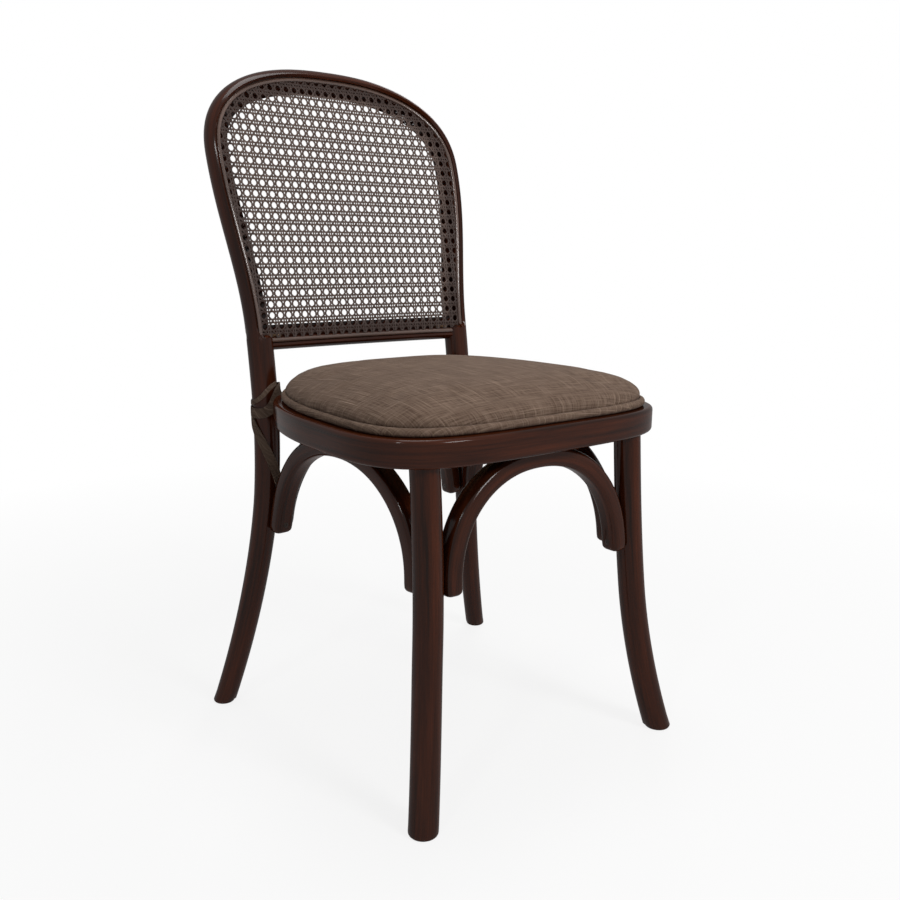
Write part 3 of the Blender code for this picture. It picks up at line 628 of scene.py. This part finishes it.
def taupe_linen(shade):
    """Plain weave with slubs. The cloth's own coordinates carry on down the sides of the crowned pad."""
    make = Shader("taupe_linen")

    # shade scales every colour; for the ties it is painted shade
    def dyed(red, green, blue):
        return rgb(red * shade, green * shade, blue * shade)

    place = make.node("ShaderNodeTexCoord").outputs["Object"]
    flat = make.vector("MULTIPLY", make.vector("SUBTRACT", place, (0, SEAT_CENTRE_Y, 0)), (1, 1, 0))
    outwards = make.vector("NORMALIZE", flat)
    drop = make.vector("MULTIPLY", make.vector("SUBTRACT", (0, 0, PAD_TOP), place), (0, 0, 1))
    depth = make.vector("LENGTH", drop)
    cloth = make.vector("ADD", flat, make.scale_by(outwards, depth))
    warp = make.noise(make.vector("MULTIPLY", cloth, (620, 22, 1)), detail=3, roughness=0.7)
    weft_place = make.vector("ADD", make.vector("MULTIPLY", cloth, (22, 620, 1)), (5, 9, 0))
    weft = make.noise(weft_place, detail=3, roughness=0.7)
    slub_warp = make.noise(make.vector("MULTIPLY", cloth, (520, 11, 1)), detail=2)
    slub_weft_place = make.vector("ADD", make.vector("MULTIPLY", cloth, (11, 520, 1)), (3, 1, 0))
    slub_weft = make.noise(slub_weft_place, detail=2)
    patches = make.noise(make.vector("MULTIPLY", place, (26, 26, 26)), detail=3)
    woven = make.number("ADD", warp, weft)
    slubs = make.number("MAXIMUM", make.spread(slub_warp, 0.58, 0.74), make.spread(slub_weft, 0.58, 0.74))
    tone = make.mix(make.spread(woven, 0.8, 1.2), dyed(78, 62, 52), dyed(126, 106, 92))
    tone = make.mix(make.spread(patches, 0.35, 0.7, 0, 0.25), tone, dyed(88, 71, 60))
    tone = make.mix(make.number("MULTIPLY", slubs, 0.75), tone, dyed(156, 134, 116))
    height = make.number("ADD", woven, make.number("MULTIPLY", slubs, 0.5))
    make.look(Base_Color=tone, Roughness=0.92, Specular_IOR_Level=0.04, Sheen_Weight=0.04,
              Sheen_Roughness=0.5, Normal=make.bump(height, 0.0008, 0.6))
    return make.material


def plain_plywood():
    make = Shader("plywood")
    place = make.node("ShaderNodeTexCoord").outputs["Object"]
    grain = make.noise(make.vector("MULTIPLY", place, (9, 160, 160)), detail=5)
    tone = make.mix(make.spread(grain, 0.3, 0.7), rgb(150, 112, 76), rgb(186, 150, 108))
    make.look(Base_Color=tone, Roughness=0.6, Normal=make.bump(grain, 0.0002, 0.3))
    return make.material


def dark_steel():
    make = Shader("zinc_steel")
    place = make.node("ShaderNodeTexCoord").outputs["Object"]
    wear = make.noise(place, scale=900, detail=3)
    tone = make.mix(make.spread(wear, 0.35, 0.7), rgb(34, 27, 24), rgb(58, 48, 43))
    make.look(Base_Color=tone, Metallic=0.5, Specular_IOR_Level=0.2,
              Roughness=make.spread(wear, 0.3, 0.7, 0.35, 0.5))
    return make.material


# Wooden pieces

def rod_section(radius, notched):
    """A round section, or the same with the cane's ledge and a deep rabbet cut out of its inner front."""
    start = math.acos(-BEVEL_START / radius)
    if not notched:
        return circle(radius, ROD_SIDES + RABBET_POINTS, start)
    end = math.asin(RABBET_FLOOR / radius) + 2 * math.pi
    angle = np.linspace(start, end, ROD_SIDES)
    arc = radius * np.column_stack([np.cos(angle), np.sin(angle)])
    lip, top = BEVEL_END
    cut = [
        (arc[-1, 0] / 2, RABBET_FLOOR),
        (LEDGE_END, RABBET_FLOOR),
        (LEDGE_END, LEDGE),
        (lip, LEDGE),
        (lip, top - GAP),
        (lip - GAP, top),
        tuple((arc[0] + BEVEL_END) / 2),
    ]
    return np.vstack([arc, cut])


def on_foot(path, radii):
    """Sets a leg upright on the floor for its last millimetres, with a rounded edge."""
    x, y, _ = path[0]
    turns = np.linspace(0, math.pi / 2, FOOT_STEPS)
    foot = [(x, y, FOOT_EDGE * (1 - math.cos(turn))) for turn in turns]
    foot_radii = [radii[0] - FOOT_EDGE * (1 - math.sin(turn)) for turn in turns]
    return np.vstack([foot, path[1:]]), foot_radii + list(radii[1:])


def back_hoop(wood):
    heights = np.linspace(0, HOOP_WIDEST_AT, round(HOOP_WIDEST_AT / ROD_STEP))
    left = np.array([rear_leg(z) for z in heights])
    left, radii = on_foot(left, [rear_radius(z) for z in heights])
    notch = [z > RAIL_HEIGHT for z in left[:, 2]]
    line = even(hoop_line(), HOOP_TOP_STEPS)[1:-1]
    top = onto_back(line[:, 0], line[:, 1], 0)
    path = np.vstack([left, top, left[::-1] * (-1, 1, 1)])
    radii = radii + [ROD_RADIUS] * len(top) + radii[::-1]
    notch = notch + [True] * len(top) + notch[::-1]
    sections = [rod_section(radius, notched) for radius, notched in zip(radii, notch)]
    add("bent_rod", sweep("bent_rod", path, sections), wood, "back_hoop")


def back_rail(wood):
    reach = rod_x(RAIL_HEIGHT) - RAIL_END_INSET
    x = np.linspace(-reach, reach, RAIL_STEPS)
    path = onto_back(x, np.full(RAIL_STEPS, RAIL_HEIGHT), 0)
    sections = [rod_section(RAIL_RADIUS, True)] * RAIL_STEPS
    add("lower_rail", sweep("lower_rail", path, sections), wood, "back_rail")


def cane_bead(wood):
    """The spline, a half-round bead that follows the opening."""
    turns = np.linspace(0, math.pi, BEAD_STEPS)
    insets = BEAD_CENTRE - BEAD_HALF_WIDTH * np.cos(turns)
    arc = list(zip(insets, BEAD_SIDE + BEAD_RISE * np.sin(turns)))
    section = arc + [(insets[-1], LEDGE), (insets[0], LEDGE)]
    layers = [onto_back(*opening(inset).T, forward) for inset, forward in section]
    points = np.stack(layers, axis=1)
    stations, around = points.shape[:2]
    along = np.linspace(0, BEAD_GRAIN_LENGTH, stations)[:, None, None]
    grain = np.concatenate([np.broadcast_to(np.array(section), (stations, around, 2)),
                            np.broadcast_to(along, (stations, around, 1))], axis=-1)
    faces = tube_faces(stations, around, closed=True)
    mesh = mesh_from("cane_bead", points.reshape(-1, 3), faces, grain.reshape(-1, 3))
    add("cane_bead", mesh, wood, "cane_spline")


def front_post(wood, name, side):
    heights = np.linspace(0, RING_BOTTOM + GAP, round(RING_BOTTOM / ROD_STEP))
    path = np.array([front_leg(z) for z in heights])
    path, radii = on_foot(path, [front_radius(z) for z in heights])
    sections = [circle(radius, ROD_SIDES) for radius in radii]
    add(f"turned_{name}", sweep(f"turned_{name}", path * (side, 1, 1), sections), wood, name)


def seat_hoop(wood):
    """The ring: rounded outer and inner edges between flat faces."""
    turns = np.linspace(0, math.pi / 2, RING_CORNER_STEPS)
    corner = list(zip(RING_ROUNDING * (1 - np.sin(turns)), RING_ROUNDING * (1 - np.cos(turns))))
    outer = [(inset, RING_TOP - drop) for inset, drop in corner]
    outer += [(inset, RING_BOTTOM + drop) for inset, drop in corner[::-1]]
    inner = [(inset, RING_BOTTOM + drop) for inset, drop in corner]
    inner += [(inset, RING_TOP - drop) for inset, drop in corner[::-1]]
    loops = [(seat_outline(inset), z) for inset, z in outer]
    loops += [(seat_opening(RING_WIDTH - inset), z) for inset, z in inner]
    points = np.stack([np.column_stack([line, np.full(len(line), z)]) for line, z in loops], axis=1)
    stations, around = points.shape[:2]
    along = np.linspace(0, RING_GRAIN_LENGTH, stations)[:, None]
    across = np.array([inset for inset, _ in outer] + [RING_WIDTH - inset for inset, _ in inner])
    grain = np.stack([np.broadcast_to(across, (stations, around)), points[..., 2],
                      np.broadcast_to(along, (stations, around))], axis=-1)
    mesh = mesh_from("seat_hoop", points.reshape(-1, 3), tube_faces(stations, around, closed=True),
                     grain.reshape(-1, 3))
    add("seat_hoop", mesh, wood, "seat_ring")


class Arch:
    """An arch between two legs, in the upright plane of their centre lines or inboard of it."""

    def __init__(self, name, first, first_radius, second, second_radius, inboard=0.0):
        self.name = name
        self.inboard = inboard
        self.legs = (first, second)
        self.radii = (first_radius, second_radius)
        self.crown = RING_BOTTOM - GAP - ARCH_THICKNESS / 2

    def frame(self, z):
        first, second = self.legs[0](z), self.legs[1](z)
        span = second - first
        half = np.linalg.norm(span) / 2
        return (first + second) / 2, span / (2 * half), half

    def reach(self, z, end):
        radius = self.radii[0 if end < 0 else 1](z)
        return self.frame(z)[2] - radius - 2 * GAP - ARCH_THICKNESS / 2

    def place(self, along, z, across):
        middle, direction, _ = self.frame(z)
        sideways = np.cross(direction, (0, 0, 1))
        inwards = -math.copysign(self.inboard, middle[0])
        return middle + direction * along + sideways * across + (inwards, 0, 0)

    def line(self):
        """The centre line as (along, z), from the second leg over the crown to the first."""
        angle = np.linspace(0, math.pi, EVEN_STEPS)
        heights = ARCH_SPRING + (self.crown - ARCH_SPRING) * rounded(np.sin(angle), ARCH_SQUARENESS)
        shares = rounded(np.cos(angle), ARCH_SQUARENESS)
        arch = [(share * self.reach(z, share), z) for share, z in zip(shares, heights)]
        start = [(self.reach(ARCH_END, 1), ARCH_END)]
        end = [(-self.reach(ARCH_END, -1), ARCH_END)]
        return even(start + arch + end, ARCH_STEPS)

    def mesh(self):
        """A rounded bar along the line, drawn in a little at its two sawn ends."""
        line = self.line()
        along_line = walked(line)
        turns = np.linspace(0, math.pi / 2, ARCH_END_STEPS)[:-1]
        ease = ARCH_ROUNDING * (1 - np.cos(turns))
        stops = np.concatenate([ease, along_line[2:-2], along_line[-1] - ease[::-1]])
        draw_in = ARCH_ROUNDING * (1 - np.sin(turns))
        draw_in = np.concatenate([draw_in, np.zeros(len(along_line) - 4), draw_in[::-1]])
        line = at_stops(line, along_line, stops)
        ahead = heading(line)
        aside = np.column_stack([ahead[:, 1], -ahead[:, 0]])
        section = rounded_bar(ARCH_THICKNESS / 2, ARCH_WIDTH / 2, ARCH_ROUNDING)
        size = np.array([ARCH_THICKNESS / 2, ARCH_WIDTH / 2])
        points, grain = [], []
        for stop, point, side, less in zip(stops, line, aside, draw_in):
            for thick, wide in section * (1 - less / size):
                along, z = point + side * thick
                points.append(self.place(along, z, wide))
                grain.append((thick, wide, stop))
        faces = tube_faces(len(line), len(section))
        return mesh_from(self.name, np.array(points), faces, np.array(grain))

    def screw_heads(self):
        """Places and directions of the screws' heads, on the bar's inner face."""
        places = []
        for end in (-1, 1):
            for z in (ARCH_END + SCREW_FIRST, ARCH_END + SCREW_FIRST + SCREW_SPACING):
                along = (self.reach(z, end) - ARCH_THICKNESS / 2) * end
                places.append((self.place(along, z, 0), self.frame(z)[1] * end))
        under = self.crown - ARCH_THICKNESS / 2
        places.append((self.place(0, under, 0), UPWARDS))
        return places


def rounded_bar(half_thick, half_wide, radius):
    points = []
    corners = ((1, 1, 0), (-1, 1, 1), (-1, -1, 2), (1, -1, 3))
    for sign_a, sign_b, quarter in corners:
        centre = np.array([sign_a * (half_thick - radius), sign_b * (half_wide - radius)])
        for step in range(ARCH_CORNER_STEPS + 1):
            angle = (quarter + step / ARCH_CORNER_STEPS) * math.pi / 2
            points.append(centre + radius * np.array([math.cos(angle), math.sin(angle)]))
    return np.array(points)


def screw_head(name, place, direction, steel):
    """A domed head with a round recess, just proud of the bar."""
    bm = bmesh.new()
    rings = ((1, SCREW_SUNK), (1, -SCREW_PROUD / 2), (0.8, -SCREW_PROUD), (0.25, -SCREW_PROUD),
             (0.18, SCREW_PROUD))
    layers = []
    for share, height in rings:
        outline = circle(SCREW_HEAD * share, SCREW_SIDES)
        layers.append([bm.verts.new((*point, height)) for point in outline])
    for below, above in zip(layers, layers[1:]):
        for i in range(SCREW_SIDES):
            j = (i + 1) % SCREW_SIDES
            bm.faces.new((below[i], below[j], above[j], above[i]))
    bm.faces.new(layers[-1])
    bm.faces.new(layers[0][::-1])
    bmesh.ops.recalc_face_normals(bm, faces=bm.faces)
    mesh = bpy.data.meshes.new(name)
    bm.to_mesh(mesh)
    bm.free()
    turned = Vector(direction).to_track_quat("Z", "Y").to_matrix().to_4x4()
    mesh.transform(Matrix.Translation(place) @ turned)
    mesh.shade_smooth()
    mesh.set_sharp_from_angle(angle=SHARP_ANGLE)
    add(f"{name}_head", mesh, steel, name)


def arches(wood, steel):
    right_front = mirrored(front_leg)
    right_rear = mirrored(rear_leg)
    made = (
        Arch("arch_front", right_front, front_radius, front_leg, front_radius),
        Arch("arch_rear", right_rear, rear_radius, rear_leg, rear_radius),
        Arch("arch_right", right_rear, rear_radius, right_front, front_radius, SIDE_ARCH_INBOARD),
        Arch("arch_left", rear_leg, rear_radius, front_leg, front_radius, SIDE_ARCH_INBOARD),
    )
    for arch in made:
        mesh = arch.mesh()
        add(f"bent_{arch.name}", mesh, wood, arch.name)
        for number, (place, direction) in enumerate(arch.screw_heads(), 1):
            screw_head(f"{arch.name}_screw_{number}", place, direction, steel)


# Woven cane

class Weave:
    """Collects flat strands that lie in the curved back, and makes one mesh of them."""

    def __init__(self):
        self.loop = opening(BEAD_CENTRE + BEAD_HALF_WIDTH)
        self.points = []
        self.grain = []
        self.soaked = []
        self.faces = []
        self.count = 0

    def inside(self, x, z):
        """Whether points lie in the opening."""
        x1, z1 = self.loop.T
        x2, z2 = np.roll(self.loop, -1, axis=0).T
        crosses = (z1 > z[:, None]) != (z2 > z[:, None])
        level = np.where(z1 == z2, 1, z2 - z1)
        left_of = x[:, None] < x1 + (z[:, None] - z1) * (x2 - x1) / level
        return (crosses & left_of).sum(axis=1) % 2 == 1

    def strand(self, start, end, width, height, step):
        """A strand from start to end where it is inside the opening. height gives its rise at (x, z)."""
        start, end = np.array(start), np.array(end)
        share = np.linspace(0, 1, STRAND_SAMPLES)
        line = start + (end - start) * share[:, None]
        kept = share[self.inside(line[:, 0], line[:, 1])]
        if len(kept) < 3:
            return
        length = np.linalg.norm(end - start) * (kept[-1] - kept[0])
        stations = max(int(length / step), 3)
        share = np.linspace(kept[0], kept[-1], stations)
        line = start + (end - start) * share[:, None]
        direction = (end - start) / np.linalg.norm(end - start)
        aside = np.array([-direction[1], direction[0]])
        section = [(width / 2 * wide, STRAND_THICKNESS / 2 * thick) for wide, thick in STRAND_SECTION]
        rise = height(line[:, 0], line[:, 1])
        # How much darker the cane is near the frame: partly stain, partly painted shade
        to_edge = np.linalg.norm(line[:, None] - self.loop, axis=2).min(axis=1)
        soaked = np.clip((STAIN_AND_SHADE_TO - to_edge) / STAIN_AND_SHADE_FADE, 0, 1)
        for offset_aside, offset_up in section:
            flat = line + aside * offset_aside
            self.points.append(onto_back(flat[:, 0], flat[:, 1], rise + offset_up))
            grain_place = np.full(stations, offset_aside + self.count * STRAND_GRAIN_SHIFT)
            self.grain.append(np.column_stack([grain_place, np.full(stations, offset_up), share]))
            self.soaked.append(soaked)
        columns = len(section)
        base = self.count
        for j in range(columns):
            k = (j + 1) % columns
            for i in range(stations - 1):
                a, b = base + j * stations + i, base + k * stations + i
                self.faces.append((a, b, b + 1, a + 1))
        self.faces.append(tuple(base + j * stations for j in range(columns)))
        self.faces.append(tuple(base + j * stations + stations - 1 for j in range(columns))[::-1])
        self.count += columns * stations

    def mesh(self, name):
        mesh = mesh_from(name, np.vstack(self.points), self.faces, np.vstack(self.grain))
        soaked = mesh.attributes.new("soaked", "FLOAT", "POINT")
        soaked.data.foreach_set("value", np.concatenate(self.soaked))
        return mesh


def cane_webbing(cane):
    """The usual open pattern: pairs of upright and level strands, with two sets of diagonals that cut the
    corners of each hole. One upright of a pair lies behind the levels and one before, the second level
    is woven, and the diagonals pass over one set of pairs and under the other."""
    weave = Weave()
    middle_z = (RAIL_HEIGHT + HOOP_TOP) / 2
    level = CANE_FORWARD - CANE_THICKNESS / 2
    reach = HOOP_HALF_WIDTH
    low, high = RAIL_HEIGHT, HOOP_TOP
    columns = int(HOOP_HALF_WIDTH / CANE_PITCH_X) + 1
    rows = int((HOOP_TOP - RAIL_HEIGHT) / CANE_PITCH_Z / 2) + 1

    def turns_x(x):
        return np.cos(2 * math.pi * x / CANE_PITCH_X)

    def turns_z(z):
        return np.cos(2 * math.pi * ((z - middle_z) / CANE_PITCH_Z - 0.5))

    def flat_at(rise):
        return lambda x, z: np.full(len(x), level + rise)

    def woven(x, z):
        return level + WEAVE_RISE * WOVEN_SHARE * np.sin(2 * math.pi * x / CANE_PITCH_X)

    def over_uprights(x, z):
        return level + WEAVE_RISE * np.clip(turns_x(x) - turns_z(z), -1, 1)

    def over_levels(x, z):
        return level - WEAVE_RISE * np.clip(turns_x(x) - turns_z(z), -1, 1)

    for column in range(-columns, columns + 1):
        x = column * CANE_PITCH_X
        for side, share in UPRIGHT_SHARES:
            place = x + side * UPRIGHT_SPREAD
            rise = flat_at(share * WEAVE_RISE)
            weave.strand((place, low), (place, high), STRAND_WIDTH, rise, CANE_PITCH_Z)
    for row in range(-rows, rows + 1):
        z = middle_z + (row + 0.5) * CANE_PITCH_Z
        lower, upper = z - LEVEL_SPREAD, z + LEVEL_SPREAD
        weave.strand((-reach, lower), (reach, lower), STRAND_WIDTH, flat_at(0), CANE_PITCH_X)
        weave.strand((-reach, upper), (reach, upper), STRAND_WIDTH, woven, WEAVE_STEP)
    slope = CANE_PITCH_Z / CANE_PITCH_X
    climb = slope * 2 * reach
    level_z = middle_z + CANE_PITCH_Z / 2
    span = columns + rows + 2
    for number in range(-span, span + 1):
        foot = (number + 0.5) * CANE_PITCH_X
        for lean, height in ((1, over_uprights), (-1, over_levels)):
            start = (-reach, level_z + lean * slope * (-reach - foot))
            end = (reach, start[1] + lean * climb)
            weave.strand(start, end, DIAGONAL_WIDTH, height, WEAVE_STEP)
    add("cane_webbing", weave.mesh("cane_webbing"), cane, "cane_panel")


# Pad, piping and ties

def pad_mesh():
    """The pad narrows above the ring to make room for its piping, then swells into its crown."""
    base = RING_TOP + GAP
    side = seat_outline(PAD_SIDE_INSET)
    edge = seat_outline(PAD_EDGE_INSET)
    centre = edge.mean(axis=0)

    def at(line, height):
        return np.column_stack([line, np.full(len(line), height)])

    rings = [at(side, base), at(side, RING_TOP + PAD_SIDE_HEIGHT)]
    for step in range(PAD_RINGS):
        share = math.cos(step / PAD_RINGS * math.pi / 2)
        rise = PAD_CROWN * (1 - share**PAD_CROWN_POWER) ** (1 / PAD_CROWN_ROOT)
        rings.append(at(centre + (edge - centre) * share, RING_TOP + PAD_EDGE_HEIGHT + rise))
    points = np.vstack(rings)
    return mesh_from("linen_pad", points, tube_faces(len(rings), RING_STEPS))


def puff(thing, limit):
    """Swells a closed cloth by pressure, with its flat underside held, and caps how far a point moves."""
    remesh = thing.modifiers.new("even", "REMESH")
    remesh.mode = "VOXEL"
    remesh.voxel_size = PAD_VOXEL
    freeze(thing)
    rest = coordinates(thing.data)
    held = thing.vertex_groups.new(name="held")
    low = [int(i) for i in np.flatnonzero(rest[:, 2] < RING_TOP + PAD_SIDE_HEIGHT)]
    held.add(low, 1.0, "REPLACE")
    cloth = thing.modifiers.new("cloth", "CLOTH")
    cloth.settings.use_pressure = True
    cloth.settings.uniform_pressure_force = PAD_PRESSURE
    cloth.settings.effector_weights.gravity = 0
    cloth.settings.vertex_group_mass = "held"
    cloth.settings.tension_stiffness = PAD_STIFFNESS
    cloth.settings.compression_stiffness = PAD_STIFFNESS
    cloth.settings.quality = PAD_QUALITY
    for frame_number in range(1, PAD_FRAMES + 1):
        bpy.context.scene.frame_set(frame_number)
    freeze(thing)
    bpy.context.scene.frame_set(1)
    moved = coordinates(thing.data) - rest
    distance = np.maximum(np.linalg.norm(moved, axis=1), 1e-9)[:, None]
    capped = rest + moved * np.minimum(1, limit / distance)
    thing.data.vertices.foreach_set("co", capped.ravel())
    smooth = thing.modifiers.new("smooth", "SMOOTH")
    smooth.factor = 0.5
    smooth.iterations = PAD_SMOOTHINGS
    divide = thing.modifiers.new("fine", "SUBSURF")
    divide.levels = 1
    freeze(thing)
    thing.data.shade_smooth()


def coordinates(mesh):
    flat = np.zeros(len(mesh.vertices) * 3)
    mesh.vertices.foreach_get("co", flat)
    return flat.reshape(-1, 3)


def freeze(thing):
    """Applies the object's modifiers to its mesh."""
    graph = bpy.context.evaluated_depsgraph_get()
    mesh = bpy.data.meshes.new_from_object(thing.evaluated_get(graph))
    thing.modifiers.clear()
    thing.data = mesh


def linen_pad(linen):
    thing = bpy.data.objects.new("linen_pad", pad_mesh())
    bpy.context.scene.collection.objects.link(thing)
    puff(thing, PAD_SWELL)
    thing.data.materials.clear()
    thing.data.materials.append(linen)
    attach(thing, "root")
    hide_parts("seat_pad")


def welt(linen):
    """The piping, a slightly uneven cord covered in the pad's cloth."""
    line = seat_outline(PIPING_INSET, PIPING_STEPS)
    path = np.column_stack([line, np.full(len(line), RING_TOP + GAP + PIPING_RADIUS)])
    step = np.arange(PIPING_STEPS)
    shares = 1 + PIPING_UNEVENNESS * np.sin(step * PIPING_WAVES[0]) * np.sin(step * PIPING_WAVES[1])
    sections = [circle(PIPING_RADIUS * share, PIPING_SIDES) for share in shares]
    mesh = sweep("linen_welt", path, sections, closed=True, facing=UPWARDS)
    add("linen_welt", mesh, linen, "pad_piping")


def ribbon(name, path, outwards, widths):
    """A flat strap along a path, facing outwards at each point."""
    path, outwards = np.asarray(path), np.asarray(outwards)
    aside = unit(np.cross(heading(path), outwards))
    points = []
    for place, out, side, width in zip(path, outwards, aside, widths):
        for wide, thick in STRAP_SECTION:
            points.append(place + side * (width / 2 * wide) + out * (TIE_THICKNESS / 2 * thick))
    return mesh_from(name, np.array(points), tube_faces(len(path), len(STRAP_SECTION)))


def post_direction(height, degrees):
    """A level direction from the left post's centre line. 0 faces the seat's middle."""
    inwards = np.array([0, SEAT_CENTRE_Y]) - rear_leg(height)[:2]
    inwards = inwards / np.linalg.norm(inwards)
    across = np.array([inwards[1], -inwards[0]])
    angle = math.radians(degrees)
    return np.append(inwards * math.cos(angle) + across * math.sin(angle), 0)


def strap(name, side, knots, linen, *nodes):
    """A strap round a post through knots of (right, out, height, facing, width), in millimetres and
    degrees. Right and out are measured from the post's centre line, as the photograph sees the sitter's
    right post."""
    knots = np.array(knots, float)
    along = walked(knots[:, :3])
    table = at_stops(knots, along, np.linspace(0, along[-1], STRAP_STEPS))
    for _ in range(STRAP_SMOOTHINGS):
        table[1:-1] = (table[:-2] + 2 * table[1:-1] + table[2:]) / 4
    path, outs = [], []
    for right, out, height, facing, _ in table:
        height = height / 1000
        point = rear_leg(height) + post_direction(height, POST_RIGHT) * right / 1000
        path.append(point + post_direction(height, POST_RIGHT - 90) * out / 1000)
        outs.append(post_direction(height, facing))
    flip = np.array([side, 1, 1])
    mesh = ribbon(name, np.array(path) * flip, np.array(outs) * flip, table[:, 4] / 1000)
    add(name, mesh, linen, *nodes)


def pad_tie(linen, name, side):
    """A strap from the pad round the post, turned up into a loop, with its end crossed under and hanging."""
    strap(f"{name}_over", side, OVER_KNOTS, linen, name)
    strap(f"{name}_band", side, BAND_KNOTS, linen)
    strap(f"{name}_tail", side, TAIL_KNOTS, linen)


# Camera, floor and light

def camera():
    azimuth = math.radians(CAMERA_AZIMUTH)
    elevation = math.radians(CAMERA_ELEVATION)
    roll = math.radians(CAMERA_ROLL)
    back = Vector((math.sin(azimuth) * math.cos(elevation), -math.cos(azimuth) * math.cos(elevation),
                   math.sin(elevation)))
    level = (-back).cross(Vector((0, 0, 1))).normalized()
    upright = level.cross(-back)
    right = math.cos(roll) * level + math.sin(roll) * upright
    up = -math.sin(roll) * level + math.cos(roll) * upright
    made = bpy.data.objects.new("camera", bpy.data.cameras.new("camera"))
    made.data.lens = CAMERA_LENS
    made.data.sensor_width = CAMERA_SENSOR
    made.data.sensor_fit = "HORIZONTAL"
    made.data.clip_start = CAMERA_CLIP
    turned = Matrix((right, up, back)).transposed().to_4x4()
    made.matrix_world = Matrix.Translation(CAMERA_AT) @ turned
    bpy.context.scene.collection.objects.link(made)
    bpy.context.scene.camera = made


def floor():
    """A pale floor, seen as white. Round the object a share of its lit colour shows, with the shadow."""
    mesh = bpy.data.meshes.new("floor")
    size = FLOOR_SIZE
    corners = [(-size, -size, 0), (size, -size, 0), (size, size, 0), (-size, size, 0)]
    mesh.from_pydata(corners, [], [(0, 1, 2, 3)])
    thing = bpy.data.objects.new("floor", mesh)
    bpy.context.scene.collection.objects.link(thing)
    make = Shader("pale_floor")
    path = make.node("ShaderNodeLightPath").outputs
    glow = make.node("ShaderNodeEmission", Color=(1, 1, 1, 1), Strength=1.0)
    shade = make.node("ShaderNodeBsdfDiffuse", Color=(FLOOR_DIFFUSE,) * 3 + (1,))
    blend = make.node("ShaderNodeMixShader")
    place = make.node("ShaderNodeTexCoord").outputs["Object"]
    seen = path["Is Camera Ray"]
    for ray in ("Is Glossy Ray", "Is Transmission Ray"):
        seen = make.number("MAXIMUM", seen, path[ray])
    away = make.vector("LENGTH", place)
    glow_share = make.spread(away, FLOOR_SHADOW_WITHIN, FLOOR_WHITE_FROM, FLOOR_WHITE_SHARE, 1.0)
    seen = make.number("MULTIPLY", seen, glow_share)
    make.links.new(seen, blend.inputs[0])
    make.links.new(shade.outputs[0], blend.inputs[1])
    make.links.new(glow.outputs[0], blend.inputs[2])
    make.links.new(blend.outputs[0], make.nodes["Material Output"].inputs["Surface"])
    mesh.materials.append(make.material)


def world():
    """Soft white light all round, and plain white where the camera, gloss or glass sees it."""
    made = bpy.data.worlds.new("studio")
    made.use_nodes = True
    bpy.context.scene.world = made
    nodes, links = made.node_tree.nodes, made.node_tree.links
    nodes.clear()
    path = nodes.new("ShaderNodeLightPath").outputs
    seen = path["Is Camera Ray"]
    for ray in ("Is Glossy Ray", "Is Transmission Ray"):
        both = nodes.new("ShaderNodeMath")
        both.operation = "MAXIMUM"
        links.new(seen, both.inputs[0])
        links.new(path[ray], both.inputs[1])
        seen = both.outputs[0]
    blend = nodes.new("ShaderNodeMixShader")
    links.new(seen, blend.inputs[0])
    for place, strength in ((1, WORLD_LIGHT), (2, 1.0)):
        background = nodes.new("ShaderNodeBackground")
        background.inputs["Color"].default_value = (1, 1, 1, 1)
        background.inputs["Strength"].default_value = strength
        links.new(background.outputs[0], blend.inputs[place])
    links.new(blend.outputs[0], nodes.new("ShaderNodeOutputWorld").inputs[0])


def lamp(name, place, aim, size, power):
    light = bpy.data.lights.new(name, "AREA")
    light.shape = "RECTANGLE"
    light.size, light.size_y = size
    light.energy = power
    thing = bpy.data.objects.new(name, light)
    thing.location = place
    thing.rotation_euler = (Vector(aim) - Vector(place)).to_track_quat("-Z", "Y").to_euler()
    bpy.context.scene.collection.objects.link(thing)


def lights():
    lamp("key", (0.45, -2.5, 1.8), (0, 0, 0.5), (0.8, 0.5), 38)
    lamp("accent", (-1.95, -1.0, 2.1), (0, 0.1, 0.7), (0.25, 0.25), 8)
    lamp("top", (0.2, 0.2, 2.5), (0, 0, 0.5), (0.9, 0.9), 20)
    lamp("rim", (1.6, 1.4, 1.8), (0, 0, 0.6), (0.6, 0.6), 7)


def main():
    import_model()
    bpy.context.scene.view_settings.view_transform = "Standard"
    camera()
    wood = walnut_lacquer()
    cane = stained_cane()
    linen = taupe_linen(PAD_SHADE)
    # A darker copy of the linen for the ties: painted shade
    strap_linen_painted_shade = taupe_linen(STRAP_PAINTED_SHADE)
    steel = dark_steel()
    plywood = plain_plywood()
    back_hoop(wood)
    back_rail(wood)
    # The bead in a lighter copy of the wood: partly its own tone, partly painted highlight
    cane_bead(walnut_lacquer(**BEAD_TONE_AND_HIGHLIGHT))
    cane_webbing(cane)
    front_post(wood, "front_leg_left", 1)
    front_post(wood, "front_leg_right", -1)
    seat_hoop(wood)
    arches(wood, steel)
    linen_pad(linen)
    welt(linen)
    pad_tie(strap_linen_painted_shade, "pad_tie_left", 1)
    pad_tie(strap_linen_painted_shade, "pad_tie_right", -1)
    for name, look in (("seat_panel", plywood), ("rail_dowel_left", plywood), ("rail_dowel_right", plywood),
                       ("ring_bolt_left", steel), ("ring_bolt_right", steel)):
        node = bpy.data.objects[name]
        node.data.materials.clear()
        node.data.materials.append(look)
    floor()
    world()
    lights()


main()
